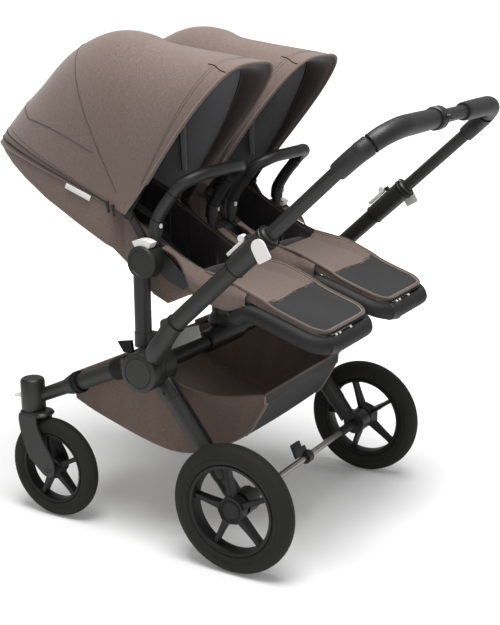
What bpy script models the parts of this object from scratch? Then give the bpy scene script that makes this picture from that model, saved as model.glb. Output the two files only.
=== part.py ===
"""Convertible double stroller: two parent-facing seats side by side on one folding chassis.

Metres, +Z up. X runs across the stroller, with +X on its left side, and it travels towards -Y.
Every place below is written from the floor under the middle of the rear axle. The last step
slides the whole stroller along Y, so that its origin is the centre of its footprint.
"""
import math

import bmesh
import bpy
from mathutils import Matrix, Vector

NAME = "convertible_double_stroller"
SIDES = {"left": 1, "right": -1}

# Fits
FIT_GAP = 0.0003
RUN_GAP = 0.0005

# Rear wheels and axle
REAR_WHEEL_RADIUS = 0.152
REAR_TYRE_WIDTH = 0.048
REAR_WHEEL_X = 0.3415
REAR_HUB_RADIUS = 0.026
AXLE_BAR_RADIUS = 0.008
WHEEL_STEPS = 24

# Front wheels and casters
FRONT_WHEEL_RADIUS = 0.1265
FRONT_TYRE_WIDTH = 0.040
FRONT_WHEEL_X = 0.3005
WHEELBASE = 0.540
FRONT_HUB_RADIUS = 0.020
CASTER_TRAIL = 0.060
CASTER_HOUSING_RADIUS = 0.030
FORK_HEAD = 0.015
CASTER_HOUSING_BOTTOM = FRONT_WHEEL_RADIUS * 2 + FORK_HEAD
CASTER_HOUSING_HEIGHT = 0.080
FORK_BLADE = 0.007
FORK_CLEARANCE = 0.003

# Wheel proportions that both wheel sizes share
RIM_OUTER_SHARE = 0.71
RIM_INNER_SHARE = 0.65
SPOKES = 5
SPOKE_WIDTH = 0.017
SPOKE_DEPTH = 0.014

# Main hub, where the handle, the front arm, the rear leg and the seat post meet
HUB_Y = -0.238
HUB_Z = 0.433
HUB_RADIUS = 0.047
HUB_INNER_X = 0.268
HUB_STATIC_WIDTH = 0.032
LEG_RING_WIDTH = 0.012
HANDLE_RING_WIDTH = 0.041
HUB_CAP_RADIUS = 0.037
HUB_CAP_THICKNESS = 0.004

# Front arm
ARM_X = 0.292
ARM_RADIUS = 0.0205
ARM_COLLAR_RADIUS = 0.0245
ARM_START = (-0.262, 0.445)
ARM_END = (-WHEELBASE - 0.044, CASTER_HOUSING_BOTTOM + 0.0338)
ARM_NECK = 0.052
ARM_NECK_RADIUS = 0.0175
ARM_COLLAR_LENGTH = 0.030
ARM_LENGTH = math.hypot(ARM_END[0] - ARM_START[0], ARM_END[1] - ARM_START[1])
ARM_TUBE_END = ARM_LENGTH - 0.1374

# Rear leg
LEG_X = 0.293
LEG_HALF_WIDTH = 0.017
LEG_HALF_DEPTH = 0.023
LEG_FOOT_Y = -0.026
AXLE_BLOCK_RADIUS = 0.029
AXLE_BLOCK_INNER_X = 0.272

# Cross beam, centre post and front cross tube
BEAM_RADIUS = 0.0205
SLEEVE_RADIUS = 0.027
SLEEVE_HALF_LENGTH = 0.080
CENTRE_POST_RADIUS = 0.019
FRONT_TUBE_RADIUS = 0.009
FRONT_TUBE_Y = -WHEELBASE + 0.025
FRONT_TUBE_RISE = 0.0015

# Seat posts and the discs that carry the seats
POST_X = 0.302
POST_Y = -0.259
POST_RADIUS = 0.0195
POST_SOCKET_RADIUS = 0.0210
POST_SOCKET_TOP = 0.515
SEAT_HUB_Y = -0.247
SEAT_HUB_Z = 0.679
SEAT_DISC_RADIUS = 0.038
POST_DISC_WIDTH = 0.037

# Handle
HANDLE_X = 0.349
HANDLE_TUBE_RADIUS = 0.0202
HANDLE_ELBOW_RADIUS = 0.0218
HANDLE_BAR_RADIUS = 0.0150
HANDLE_KNEE = (-0.140, 0.560)
HANDLE_ANGLE = math.radians(42.8)
CLAMP_START = 0.205
CLAMP_END = 0.328
CLAMP_RADIUS = 0.0252
CLAMP_LIP = 0.006
BAR_START = 0.115
CUFF_START = 0.530
CUFF_END = 0.607
CUFF_START_RADIUS = 0.0165
CUFF_RADIUS = 0.0208
GRIP_RADIUS = 0.0212
CROSSBAR_AT = 0.650
GRIP_INNER_X = 0.084
RING_WIDTH = 0.030
RING_RADIUS = 0.0255
FAR_GRIP_X = -0.085

# Seats, in each seat's own width from its centre line
SEAT_CENTRE_X = 0.160
SEAT_RAIL_RADIUS = 0.0095
SEAT_HIP_GAP = 0.0025
SEAT_DISC_WIDTH = 0.0195
SHELL_WALL = 0.005
INLAY_GAP = 0.002
INLAY_WING = 0.012
BRACKET_THICKNESS = 0.008
BRACKET_WIDTH = 0.018
SOCKET_RADIUS = 0.0125
SEAT_CROSS_RADIUS = 0.0070
FOOTREST_TUBE_RADIUS = 0.0195
FOOTREST_CORNER = 0.050
PANEL_START = (0.0420, 0.5993)
PANEL_LENGTH = 0.150
PANEL_SLOPE = math.radians(-18.5)
PANEL_CORNER = 0.042
PANEL_THICKNESS = 0.005

# Canopy
CANOPY_PIVOT = (-0.310, 0.776)
CANOPY_HALF_WIDTH = 0.145
CANOPY_FOOT_HALF_WIDTH = 0.1275
CANOPY_FLARE = 0.30
CANOPY_SHEET = 0.004
CANOPY_LEG = 0.028
CANOPY_STEPS = 12
BOW_THICKNESS = 0.005
BOW_TOP_GAP = 0.0075
BOW_GAP = 0.0032
BOW_WIDTH = 0.014
BOW_LEG_GAP = 0.0007

# Widths of the seat that follow from the canopy's feet, outside the brackets that carry them
BOW_LEG_INNER = CANOPY_FOOT_HALF_WIDTH - CANOPY_SHEET - BOW_GAP - BOW_THICKNESS
BRACKET_OUTER = BOW_LEG_INNER - BOW_LEG_GAP
SEAT_DISC_INNER = BRACKET_OUTER - BRACKET_THICKNESS - 0.0001
SEAT_DISC_OUTER = SEAT_DISC_INNER + SEAT_DISC_WIDTH
SEAT_RAIL_OFFSET = SEAT_DISC_INNER + SEAT_RAIL_RADIUS
SEAT_HIP_HALF_WIDTH = SEAT_DISC_INNER - SEAT_HIP_GAP
FOOTREST_OFFSET = SEAT_RAIL_OFFSET + 0.002
PANEL_HALF_WIDTH = FOOTREST_OFFSET - 0.002
POST_DISC_INNER_X = SEAT_CENTRE_X + SEAT_DISC_OUTER + RUN_GAP
CENTRE_DISC_HALF_WIDTH = SEAT_CENTRE_X - SEAT_DISC_OUTER - RUN_GAP

# Bumper bar
BUMPER_BASE = (-0.236, 0.738)
BUMPER_TOP = (-0.130, 0.875)
BUMPER_RADIUS = 0.0145
BUMPER_SLEEVE_RADIUS = 0.0160

# Basket
BASKET_WALL = 0.004

COLOURS = {
    "frame_coat": ((0.042, 0.042, 0.040), 0.45, 0.35),
    "black_plastic": ((0.014, 0.014, 0.014), 0.50, 0.0),
    "rubber": ((0.030, 0.029, 0.027), 0.80, 0.0),
    "wheel_plastic": ((0.022, 0.022, 0.021), 0.55, 0.0),
    "white_plastic": ((0.80, 0.79, 0.77), 0.40, 0.0),
    "bare_steel": ((0.45, 0.43, 0.40), 0.30, 1.0),
    "grip_leather": ((0.036, 0.036, 0.037), 0.50, 0.0),
    "outer_fabric": ((0.150, 0.112, 0.093), 0.92, 0.0),
    "basket_fabric": ((0.118, 0.083, 0.063), 0.92, 0.0),
    "inlay_fabric": ((0.016, 0.012, 0.013), 0.95, 0.0),
    "footrest_vinyl": ((0.060, 0.060, 0.060), 0.60, 0.0),
    "padded_sleeve": ((0.012, 0.012, 0.012), 0.70, 0.0),
}


def clear_scene():
    for obj in list(bpy.data.objects):
        bpy.data.objects.remove(obj, do_unlink=True)


def make_material(name):
    colour, roughness, metallic = COLOURS[name]
    material = bpy.data.materials.new(name)
    material.use_nodes = True
    shader = material.node_tree.nodes["Principled BSDF"]
    shader.inputs["Base Color"].default_value = (*colour, 1.0)
    shader.inputs["Roughness"].default_value = roughness
    shader.inputs["Metallic"].default_value = metallic
    material.diffuse_color = (*colour, 1.0)
    return material


clear_scene()
COLLECTION = bpy.data.collections.new(NAME)
bpy.context.scene.collection.children.link(COLLECTION)
MATERIALS = {name: make_material(name) for name in COLOURS}


# Places of the joints, as (x, y, z) from the floor under the rear axle

def at(x, pair):
    """A point at width x on a (y, z) pair."""
    return Vector((x, pair[0], pair[1]))


def handle_point(x, distance, above=0.0):
    """A point along the straight handle tube, measured from the knee, and above its axis."""
    y = HANDLE_KNEE[0] + distance * math.cos(HANDLE_ANGLE) - above * math.sin(HANDLE_ANGLE)
    z = HANDLE_KNEE[1] + distance * math.sin(HANDLE_ANGLE) + above * math.cos(HANDLE_ANGLE)
    return Vector((x, y, z))


HANDLE_ALONG = Vector((0, math.cos(HANDLE_ANGLE), math.sin(HANDLE_ANGLE)))
HANDLE_ABOVE = Vector((0, -math.sin(HANDLE_ANGLE), math.cos(HANDLE_ANGLE)))
HUB = Vector((0, HUB_Y, HUB_Z))
SEAT_HUB = Vector((0, SEAT_HUB_Y, SEAT_HUB_Z))
CASTER_Y = -WHEELBASE - CASTER_TRAIL
LEG_RING_INNER_X = HUB_INNER_X + HUB_STATIC_WIDTH + RUN_GAP
HANDLE_RING_INNER_X = LEG_RING_INNER_X + LEG_RING_WIDTH + RUN_GAP
HANDLE_RING_OUTER_X = HANDLE_RING_INNER_X + HANDLE_RING_WIDTH


# Making and joining solids

def link_mesh(name, mesh):
    obj = bpy.data.objects.new(name, mesh)
    COLLECTION.objects.link(obj)
    return obj


def from_bmesh(name, bm):
    bmesh.ops.recalc_face_normals(bm, faces=bm.faces[:])
    if bm.calc_volume(signed=True) < 0:
        bmesh.ops.reverse_faces(bm, faces=bm.faces[:])
    mesh = bpy.data.meshes.new(name)
    bm.to_mesh(mesh)
    bm.free()
    return link_mesh(name, mesh)


def aligned(start, direction):
    """A matrix that carries the local Z axis onto a direction, with its origin at start."""
    turn = Vector((0, 0, 1)).rotation_difference(Vector(direction))
    return Matrix.Translation(start) @ turn.to_matrix().to_4x4()


def rod(name, start, end, radius, end_radius=None, sides=16):
    """A round rod or cone between two points."""
    start, end = Vector(start), Vector(end)
    bm = bmesh.new()
    bmesh.ops.create_cone(bm, cap_ends=True, segments=sides, radius1=radius,
                          radius2=radius if end_radius is None else end_radius,
                          depth=(end - start).length)
    bm.transform(aligned((start + end) / 2, end - start))
    return from_bmesh(name, bm)


def block(name, low, high, bevel=0.0):
    """A box between two corners, with rounded edges where a bevel is given."""
    low, high = Vector(low), Vector(high)
    bm = bmesh.new()
    bmesh.ops.create_cube(bm, size=1.0)
    bmesh.ops.scale(bm, vec=high - low, verts=bm.verts)
    bmesh.ops.translate(bm, vec=(low + high) / 2, verts=bm.verts)
    if bevel:
        bmesh.ops.bevel(bm, geom=bm.edges[:], offset=bevel, segments=2, affect="EDGES", profile=0.5)
    return from_bmesh(name, bm)


def turned(name, profile, start, direction, steps=20, closed=False, offset=0.0):
    """A profile of (radius, height) points turned about a line. It runs down its outer side."""
    bm = bmesh.new()
    verts = [bm.verts.new((r * math.cos(offset), r * math.sin(offset), h)) for r, h in profile]
    for a, b in zip(verts, verts[1:] + verts[:1] if closed else verts[1:]):
        bm.edges.new((a, b))
    mesh = bpy.data.meshes.new(name)
    bm.to_mesh(mesh)
    bm.free()
    obj = link_mesh(name, mesh)
    screw = obj.modifiers.new("turn", "SCREW")
    screw.steps = screw.render_steps = steps
    screw.use_merge_vertices = True
    screw.merge_threshold = 0.00005
    obj.matrix_world = aligned(start, direction)
    return baked(obj)


def curve_object(name, points, radius, resolution):
    curve = bpy.data.curves.new(name, "CURVE")
    curve.dimensions = "3D"
    curve.bevel_depth = radius
    curve.bevel_resolution = resolution
    spline = curve.splines.new("POLY")
    spline.points.add(len(points) - 1)
    for point, place in zip(spline.points, points):
        point.co = (*place, 1.0)
    obj = bpy.data.objects.new(name, curve)
    COLLECTION.objects.link(obj)
    return obj


def clear_of(radius, sides, gap=FIT_GAP):
    """The corner radius of a hole with that many sides that clears a round bar."""
    return radius / math.cos(math.pi / sides) + gap


def tube(name, points, radius, resolution=3):
    """A solid round bar along a row of points."""
    obj = curve_object(name, points, radius, resolution)
    obj.data.use_fill_caps = True
    return baked(obj)


def pipe(name, points, radius, bore, resolution=3):
    """A hollow tube along a row of points, open at both ends."""
    obj = curve_object(name, points, radius, resolution)
    wall = obj.modifiers.new("wall", "SOLIDIFY")
    wall.thickness = radius - bore
    wall.offset = -1.0
    return baked(obj)


def plate(name, outline, thickness, place):
    """A flat outline, given in its own X and Y, made a plate of even thickness."""
    curve = bpy.data.curves.new(name, "CURVE")
    curve.dimensions = "2D"
    curve.fill_mode = "BOTH"
    curve.extrude = thickness / 2
    spline = curve.splines.new("POLY")
    spline.points.add(len(outline) - 1)
    for point, (x, y) in zip(spline.points, outline):
        point.co = (x, y, 0.0, 1.0)
    spline.use_cyclic_u = True
    obj = bpy.data.objects.new(name, curve)
    COLLECTION.objects.link(obj)
    obj.matrix_world = place
    return baked(obj)


def baked(obj):
    """The same shape as a plain closed mesh in world space, with its modifiers applied."""
    bpy.context.view_layer.update()
    shape = obj.evaluated_get(bpy.context.evaluated_depsgraph_get())
    mesh = bpy.data.meshes.new_from_object(shape)
    bm = bmesh.new()
    bm.from_mesh(mesh)
    bpy.data.meshes.remove(mesh)
    bmesh.ops.remove_doubles(bm, verts=bm.verts, dist=0.00002)
    bm.transform(obj.matrix_world)
    name = obj.name
    bpy.data.objects.remove(obj)
    return from_bmesh(name, bm)


def loft(name, rings):
    """A closed solid through rings of as many points each, with flat ends."""
    bm = bmesh.new()
    rows = [[bm.verts.new(point) for point in ring] for ring in rings]
    count = len(rows[0])
    for lower, upper in zip(rows, rows[1:]):
        for i in range(count):
            j = (i + 1) % count
            bm.faces.new((lower[i], lower[j], upper[j], upper[i]))
    bm.faces.new(rows[0])
    bm.faces.new(rows[-1])
    return from_bmesh(name, bm)


def combine(base, others, operation):
    """The base joined with, or cut by, each of the other solids, which are used up."""
    for index, other in enumerate(others):
        step = base.modifiers.new(f"{operation}_{index}", "BOOLEAN")
        step.operation = operation
        step.solver = "EXACT"
        step.object = other
    result = baked(base)
    for other in others:
        bpy.data.objects.remove(other)
    return result


def fuse(base, *others):
    return combine(base, others, "UNION")


def cut(base, *others):
    return combine(base, others, "DIFFERENCE")


# Bodies: each is an empty on its joint's axis, which carries its pieces

PIVOTS = {}


def body(name, pivot, parent=None):
    empty = bpy.data.objects.new(name, None)
    COLLECTION.objects.link(empty)
    PIVOTS[name] = Vector(pivot)
    if parent:
        empty.parent = parent
        empty.location = PIVOTS[name] - PIVOTS[parent.name]
    return empty


def finish(obj, carrier, material, name=None, sharp=35):
    """Give a piece its name and finish, and hang it on its body."""
    if name:
        obj.name = name
        obj.data.name = name
    obj.data.materials.clear()
    obj.data.materials.append(MATERIALS[material])
    obj.data.shade_smooth()
    obj.data.set_sharp_from_angle(angle=math.radians(sharp))
    obj.parent = carrier
    obj.location = -PIVOTS[carrier.name]
    return obj


# Wheels

def wheel(prefix, carrier, centre, radius, tyre_width, hub_radius, hub_span):
    """A tyre on a five-spoke rim. A flat facet of the tread stands on the floor."""
    facet = 1.0 / math.cos(math.pi / WHEEL_STEPS)
    rim_outer = radius * RIM_OUTER_SHARE
    half = tyre_width / 2
    bead = half * 0.72
    side = [(rim_outer + FIT_GAP, -bead), (radius * 0.86, -half), (radius * 0.96, -half * 0.85),
            (radius, -half * 0.42)]
    profile = [(r * facet, h) for r, h in side + [(r, -h) for r, h in reversed(side)]]
    half_step = math.pi / WHEEL_STEPS
    tyre = turned(f"{prefix}_tyre", profile, centre, (1, 0, 0), WHEEL_STEPS, True, half_step)
    finish(tyre, carrier, "rubber")
    rim_inner = radius * RIM_INNER_SHARE
    ring = [(rim_outer * facet, bead), (rim_outer * facet, -bead),
            (rim_inner * facet, -bead * 0.7), (rim_inner * facet, bead * 0.7)]
    rim = turned(f"{prefix}_rim", ring, centre, (1, 0, 0), WHEEL_STEPS, True, half_step)
    low, high = hub_span
    hub = rod("hub", (low, centre.y, centre.z), (high, centre.y, centre.z), hub_radius)
    spokes = []
    for number in range(SPOKES):
        turn = Matrix.Rotation(math.tau * number / SPOKES + math.pi / 2, 4, "X")
        spoke = spoke_solid(hub_radius * 0.6, (rim_inner + rim_outer) / 2)
        spoke.data.transform(Matrix.Translation(centre) @ turn)
        spokes.append(spoke)
    rim = fuse(rim, hub, *spokes)
    finish(rim, carrier, "wheel_plastic", f"{prefix}_rim")


def spoke_solid(start, end):
    """A spoke along +Y from the hub to the rim, wider at the hub."""
    rings = []
    for reach, grow in ((start, 1.25), (end, 0.85)):
        wide = SPOKE_WIDTH / 2 * grow
        deep = SPOKE_DEPTH / 2 * grow
        rings.append([(-deep, reach, -wide), (deep, reach, -wide), (deep, reach, wide),
                      (-deep, reach, wide)])
    return loft("spoke", rings)


# Chassis

def along(start, end, distance):
    start, end = Vector(start), Vector(end)
    return start + (end - start).normalized() * distance


def build_main_hub(side, sign, carrier):
    """The fixed middle of the main hub, with the necks that hold the front arm and the post."""
    inner, outer = sign * HUB_INNER_X, sign * (HUB_INNER_X + HUB_STATIC_WIDTH)
    disc = rod("disc", (inner, HUB_Y, HUB_Z), (outer, HUB_Y, HUB_Z), HUB_RADIUS, sides=20)
    arm_start, arm_end = at(sign * ARM_X, ARM_START), at(sign * ARM_X, ARM_END)
    bridge_x = sign * (HUB_INNER_X + HUB_STATIC_WIDTH / 2)
    bridge = tube("bridge", [at(bridge_x, ARM_START), along(at(bridge_x, ARM_START),
                  at(bridge_x, ARM_END), ARM_NECK)], HUB_STATIC_WIDTH / 2 - 0.001)
    neck = rod("neck", along(arm_start, arm_end, ARM_NECK - 0.016),
               along(arm_start, arm_end, ARM_NECK), ARM_RADIUS)
    low = min(inner, outer)
    stand = block("stand", (low, POST_Y - 0.018, HUB_Z),
                  (low + HUB_STATIC_WIDTH, POST_Y + 0.018, POST_SOCKET_TOP - 0.006))
    socket = rod("socket", (sign * POST_X, POST_Y, HUB_Z + HUB_RADIUS + 0.001),
                 (sign * POST_X, POST_Y, POST_SOCKET_TOP), POST_SOCKET_RADIUS)
    hub = fuse(disc, bridge, neck, stand, socket)
    finish(hub, carrier, "frame_coat", f"main_hub_{side}")


def build_front_arm(side, sign, carrier):
    """The tube from the main hub to the caster, with its dark collar at the hub."""
    start, end = at(sign * ARM_X, ARM_START), at(sign * ARM_X, ARM_END)
    low = ARM_NECK + FIT_GAP
    collar_end = low + ARM_COLLAR_LENGTH
    profile = [(0, ARM_TUBE_END), (ARM_RADIUS, ARM_TUBE_END), (ARM_RADIUS, collar_end),
               (ARM_COLLAR_RADIUS, collar_end - 0.003), (ARM_COLLAR_RADIUS, low + 0.003),
               (ARM_RADIUS, low), (0, low)]
    arm = turned(f"front_arm_{side}", profile, start, end - start, 20)
    finish(arm, carrier, "frame_coat")


def build_caster_housing(side, sign, carrier):
    """The upright caster housing with the cast neck that the front arm plugs into."""
    radius, bottom = CASTER_HOUSING_RADIUS, CASTER_HOUSING_BOTTOM
    top = bottom + CASTER_HOUSING_HEIGHT
    profile = [(0, top), (radius * 0.80, top), (radius * 0.94, top - 0.003),
               (radius, top - 0.008), (radius, bottom + 0.004), (radius - 0.002, bottom),
               (0, bottom)]
    housing = turned("housing", profile, (sign * FRONT_WHEEL_X, CASTER_Y, 0), (0, 0, 1), 20)
    start, end = at(sign * ARM_X, ARM_START), at(sign * ARM_X, ARM_END)
    mouth = ARM_TUBE_END + FIT_GAP
    length = (end - start).length
    neck_profile = [(0, length), (0.0165, length), (ARM_NECK_RADIUS, mouth + 0.048),
                    (ARM_COLLAR_RADIUS, mouth + 0.022), (ARM_COLLAR_RADIUS + 0.001, mouth + 0.002),
                    (ARM_COLLAR_RADIUS - 0.001, mouth), (0, mouth)]
    neck = turned("neck", neck_profile, start, end - start, 16)
    housing = fuse(housing, neck)
    finish(housing, carrier, "frame_coat", f"caster_housing_{side}")


def build_seat_post(side, sign, carrier):
    """An upright tube whose top disc carries one seat's outer hub, slotted for its button."""
    x = sign * POST_X
    post = rod("post", (x, POST_Y, POST_SOCKET_TOP + FIT_GAP), (x, POST_Y, SEAT_HUB_Z - 0.010),
               POST_RADIUS)
    inner = sign * POST_DISC_INNER_X
    outer = sign * (POST_DISC_INNER_X + POST_DISC_WIDTH)
    disc_profile = [(0, 0), (SEAT_DISC_RADIUS, 0), (SEAT_DISC_RADIUS, POST_DISC_WIDTH - 0.003),
                    (SEAT_DISC_RADIUS - 0.003, POST_DISC_WIDTH), (0.029, POST_DISC_WIDTH),
                    (0.028, POST_DISC_WIDTH - 0.0015), (0, POST_DISC_WIDTH - 0.0015)]
    disc = turned("disc", disc_profile, (inner, SEAT_HUB_Y, SEAT_HUB_Z), (outer - inner, 0, 0), 24)
    post = fuse(post, disc)
    slot = arc_band("slot", sign, BUTTON_INNER - BUTTON_TRAVEL - 0.0012, BUTTON_OUTER + 0.004,
                    BUTTON_HALF_ANGLE + math.radians(5), BUTTON_MARGIN - 0.0004)
    relief = rod("relief", (inner - sign * 0.012, SEAT_HUB_Y, SEAT_HUB_Z),
                 (inner, SEAT_HUB_Y, SEAT_HUB_Z), SEAT_DISC_RADIUS, sides=24)
    post = cut(post, slot, relief)
    finish(post, carrier, "frame_coat", f"seat_post_{side}")


BUTTON_INNER = 0.0375
BUTTON_OUTER = 0.0520
BUTTON_TRAVEL = 0.003
BUTTON_HALF_ANGLE = math.radians(29)
BUTTON_MARGIN = 0.006


def arc_band(name, sign, inner, outer, half_angle, margin):
    """A curved block on top of a seat post's disc, set in from the disc's two faces."""
    x0 = sign * (POST_DISC_INNER_X + margin)
    x1 = sign * (POST_DISC_INNER_X + POST_DISC_WIDTH - margin)
    steps = 4
    rings = []
    for step in range(steps + 1):
        angle = half_angle * (2 * step / steps - 1)
        out = Vector((0, math.sin(angle), math.cos(angle)))
        near, far = SEAT_HUB + out * inner, SEAT_HUB + out * outer
        rings.append([(x0, near.y, near.z), (x1, near.y, near.z), (x1, far.y, far.z),
                      (x0, far.y, far.z)])
    return loft(name, rings)


def build_chassis_middle(carrier):
    """The cross beam, the post between the seats and the tube that holds the basket's front."""
    reach = HUB_INNER_X - FIT_GAP
    beam = rod("cross_beam", (-reach, HUB_Y, HUB_Z), (reach, HUB_Y, HUB_Z), BEAM_RADIUS, sides=20)
    finish(beam, carrier, "black_plastic")
    half, bore = SLEEVE_HALF_LENGTH, clear_of(BEAM_RADIUS, 20)
    profile = [(SLEEVE_RADIUS - 0.003, half), (SLEEVE_RADIUS, half - 0.004),
               (SLEEVE_RADIUS, 0.004 - half), (SLEEVE_RADIUS - 0.003, -half), (bore, -half),
               (bore, half)]
    sleeve = turned("sleeve", profile, HUB, (1, 0, 0), 20, True)
    dome_profile = [(0, SEAT_HUB_Z), (CENTRE_POST_RADIUS, SEAT_HUB_Z),
                    (CENTRE_POST_RADIUS, HUB_Z + 0.058), (0.025, HUB_Z + 0.050),
                    (0.029, HUB_Z + 0.036), (0.024, HUB_Z + 0.0225), (0, HUB_Z + 0.0225)]
    post = turned("post", dome_profile, (0, HUB_Y, 0), (0, SEAT_HUB_Y - HUB_Y, SEAT_HUB_Z), 16)
    disc = rod("disc", (-CENTRE_DISC_HALF_WIDTH, SEAT_HUB_Y, SEAT_HUB_Z),
               (CENTRE_DISC_HALF_WIDTH, SEAT_HUB_Y, SEAT_HUB_Z), SEAT_DISC_RADIUS - 0.002, sides=20)
    finish(fuse(sleeve, post, disc), carrier, "black_plastic", "centre_post")
    reach = ARM_X - ARM_NECK_RADIUS - FIT_GAP
    share = (FRONT_TUBE_Y - ARM_START[0]) / (ARM_END[0] - ARM_START[0])
    height = ARM_START[1] + (ARM_END[1] - ARM_START[1]) * share + FRONT_TUBE_RISE
    front = rod("front_cross_tube", (-reach, FRONT_TUBE_Y, height), (reach, FRONT_TUBE_Y, height),
                FRONT_TUBE_RADIUS, sides=12)
    finish(front, carrier, "frame_coat")


# Basket: rows of (share of the way from the axle to the front wall, half width at the floor, half
# width at the rim, floor height, rim height)
BASKET_FRONT_Y = FRONT_TUBE_Y + FRONT_TUBE_RADIUS + FIT_GAP
BASKET_ROWS = [(1.000, 0.250, 0.262, 0.293, 0.351), (0.890, 0.253, 0.264, 0.270, 0.366),
               (0.751, 0.252, 0.265, 0.245, 0.382), (0.613, 0.250, 0.265, 0.222, 0.394),
               (0.475, 0.244, 0.264, 0.204, 0.398), (0.356, 0.232, 0.256, 0.204, 0.380),
               (0.237, 0.214, 0.238, 0.224, 0.364), (0.1225, 0.190, 0.214, 0.258, 0.364),
               (0.0595, 0.187, 0.200, 0.305, 0.368), (0.016, 0.184, 0.190, 0.345, 0.370)]


def basket_ring(row, inset, lift):
    y, floor_half, rim_half, floor, rim = row
    floor_half, rim_half, floor, rim = floor_half - inset, rim_half - inset, floor + inset, rim + lift
    middle = floor + (rim - floor) * 0.45
    belly = (floor_half + rim_half) / 2
    half = [(rim_half, rim), (belly, middle), (floor_half, floor + 0.014),
            (floor_half - 0.022, floor)]
    return [(x, y, z) for x, z in half] + [(-x, y, z) for x, z in reversed(half)]


def build_basket(carrier):
    """The fabric basket under the seats, open at the top."""
    rows = [[BASKET_FRONT_Y * row[0], *row[1:]] for row in BASKET_ROWS]
    outer = loft("basket", [basket_ring(row, 0.0, 0.0) for row in rows])
    rows[0][0] += BASKET_WALL
    rows[-1][0] -= BASKET_WALL
    hollow = loft("hollow", [basket_ring(row, BASKET_WALL, 0.030) for row in rows])
    finish(cut(outer, hollow), carrier, "basket_fabric", "basket")


# Rear frame

def build_rear_leg(side, sign, carrier):
    """The leg that swings on the main hub, with the block that holds the wheel's axle."""
    x0, x1 = sign * LEG_RING_INNER_X, sign * (LEG_RING_INNER_X + LEG_RING_WIDTH)
    ring = rod("ring", (x0, HUB_Y, HUB_Z), (x1, HUB_Y, HUB_Z), HUB_RADIUS, sides=20)
    foot = Vector((sign * LEG_X, LEG_FOOT_Y, REAR_WHEEL_RADIUS + 0.006))
    top = Vector((sign * LEG_X, HUB_Y, HUB_Z))
    run = foot - top
    start = HUB_RADIUS + 0.003
    lug = leg_section("lug", sign, top, run, 0.010, start + 0.030,
                      abs(x0 + x1) / 2, LEG_RING_WIDTH / 2 - 0.0002)
    leg = leg_section("leg", sign, top, run, start, run.length, LEG_X, LEG_HALF_WIDTH)
    inner, outer = sign * AXLE_BLOCK_INNER_X, sign * (REAR_WHEEL_X - REAR_TYRE_WIDTH / 2 - 0.0015)
    axle = Vector((0, 0, REAR_WHEEL_RADIUS))
    housing = rod("block", (inner, axle.y, axle.z), (outer, axle.y, axle.z), AXLE_BLOCK_RADIUS,
                  sides=16)
    leg = fuse(ring, lug, leg, housing)
    finish(leg, carrier, "frame_coat", f"rear_leg_{side}")


def leg_section(name, sign, top, run, start, end, x, half_width):
    """An oval bar along the leg, between two distances from the hub's axis."""
    down = run.normalized()
    across = Vector((0, -down.z, down.y))
    rings = []
    for distance in (start, end):
        centre = top + down * distance
        centre.x = sign * x
        rings.append([centre + Vector((half_width * math.cos(angle), 0, 0))
                      + across * LEG_HALF_DEPTH * math.sin(angle)
                      for angle in (math.tau * k / 14 for k in range(14))])
    return loft(name, rings)


def build_axle(carrier):
    reach = AXLE_BLOCK_INNER_X - FIT_GAP
    bar = rod("rear_axle_bar", (-reach, 0, REAR_WHEEL_RADIUS), (reach, 0, REAR_WHEEL_RADIUS),
              AXLE_BAR_RADIUS, sides=16)
    finish(bar, carrier, "bare_steel")


PEDAL_X = -0.006
PEDAL_RING_HALF_WIDTH = 0.011
PEDAL_RING = 0.0155
TREAD_LOW = (0.004, -0.0040, 0.010)
TREAD_HIGH = (0.042, 0.0040, 0.046)
TREAD_TILT = math.radians(24)


def build_brake_pedal(carrier):
    """A ring round the axle bar with the square tread that the foot presses."""
    bore = clear_of(AXLE_BAR_RADIUS, 16, RUN_GAP)
    half = PEDAL_RING_HALF_WIDTH
    profile = [(PEDAL_RING, half), (PEDAL_RING, -half), (bore, -half), (bore, half)]
    ring = turned("ring", profile, (PEDAL_X, 0, REAR_WHEEL_RADIUS), (1, 0, 0), 16, True)
    tread = block("tread", TREAD_LOW, TREAD_HIGH, bevel=0.0010)
    arm = block("arm", (PEDAL_X - 0.007, -0.0026, bore + 0.0030),
                (TREAD_LOW[0] + 0.007, 0.0026, 0.0285))
    for piece in (tread, arm):
        piece.data.transform(Matrix.Translation((0, 0, REAR_WHEEL_RADIUS))
                             @ Matrix.Rotation(TREAD_TILT, 4, "X"))
    finish(fuse(ring, tread, arm), carrier, "black_plastic", "brake_pedal")


# Front casters

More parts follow.
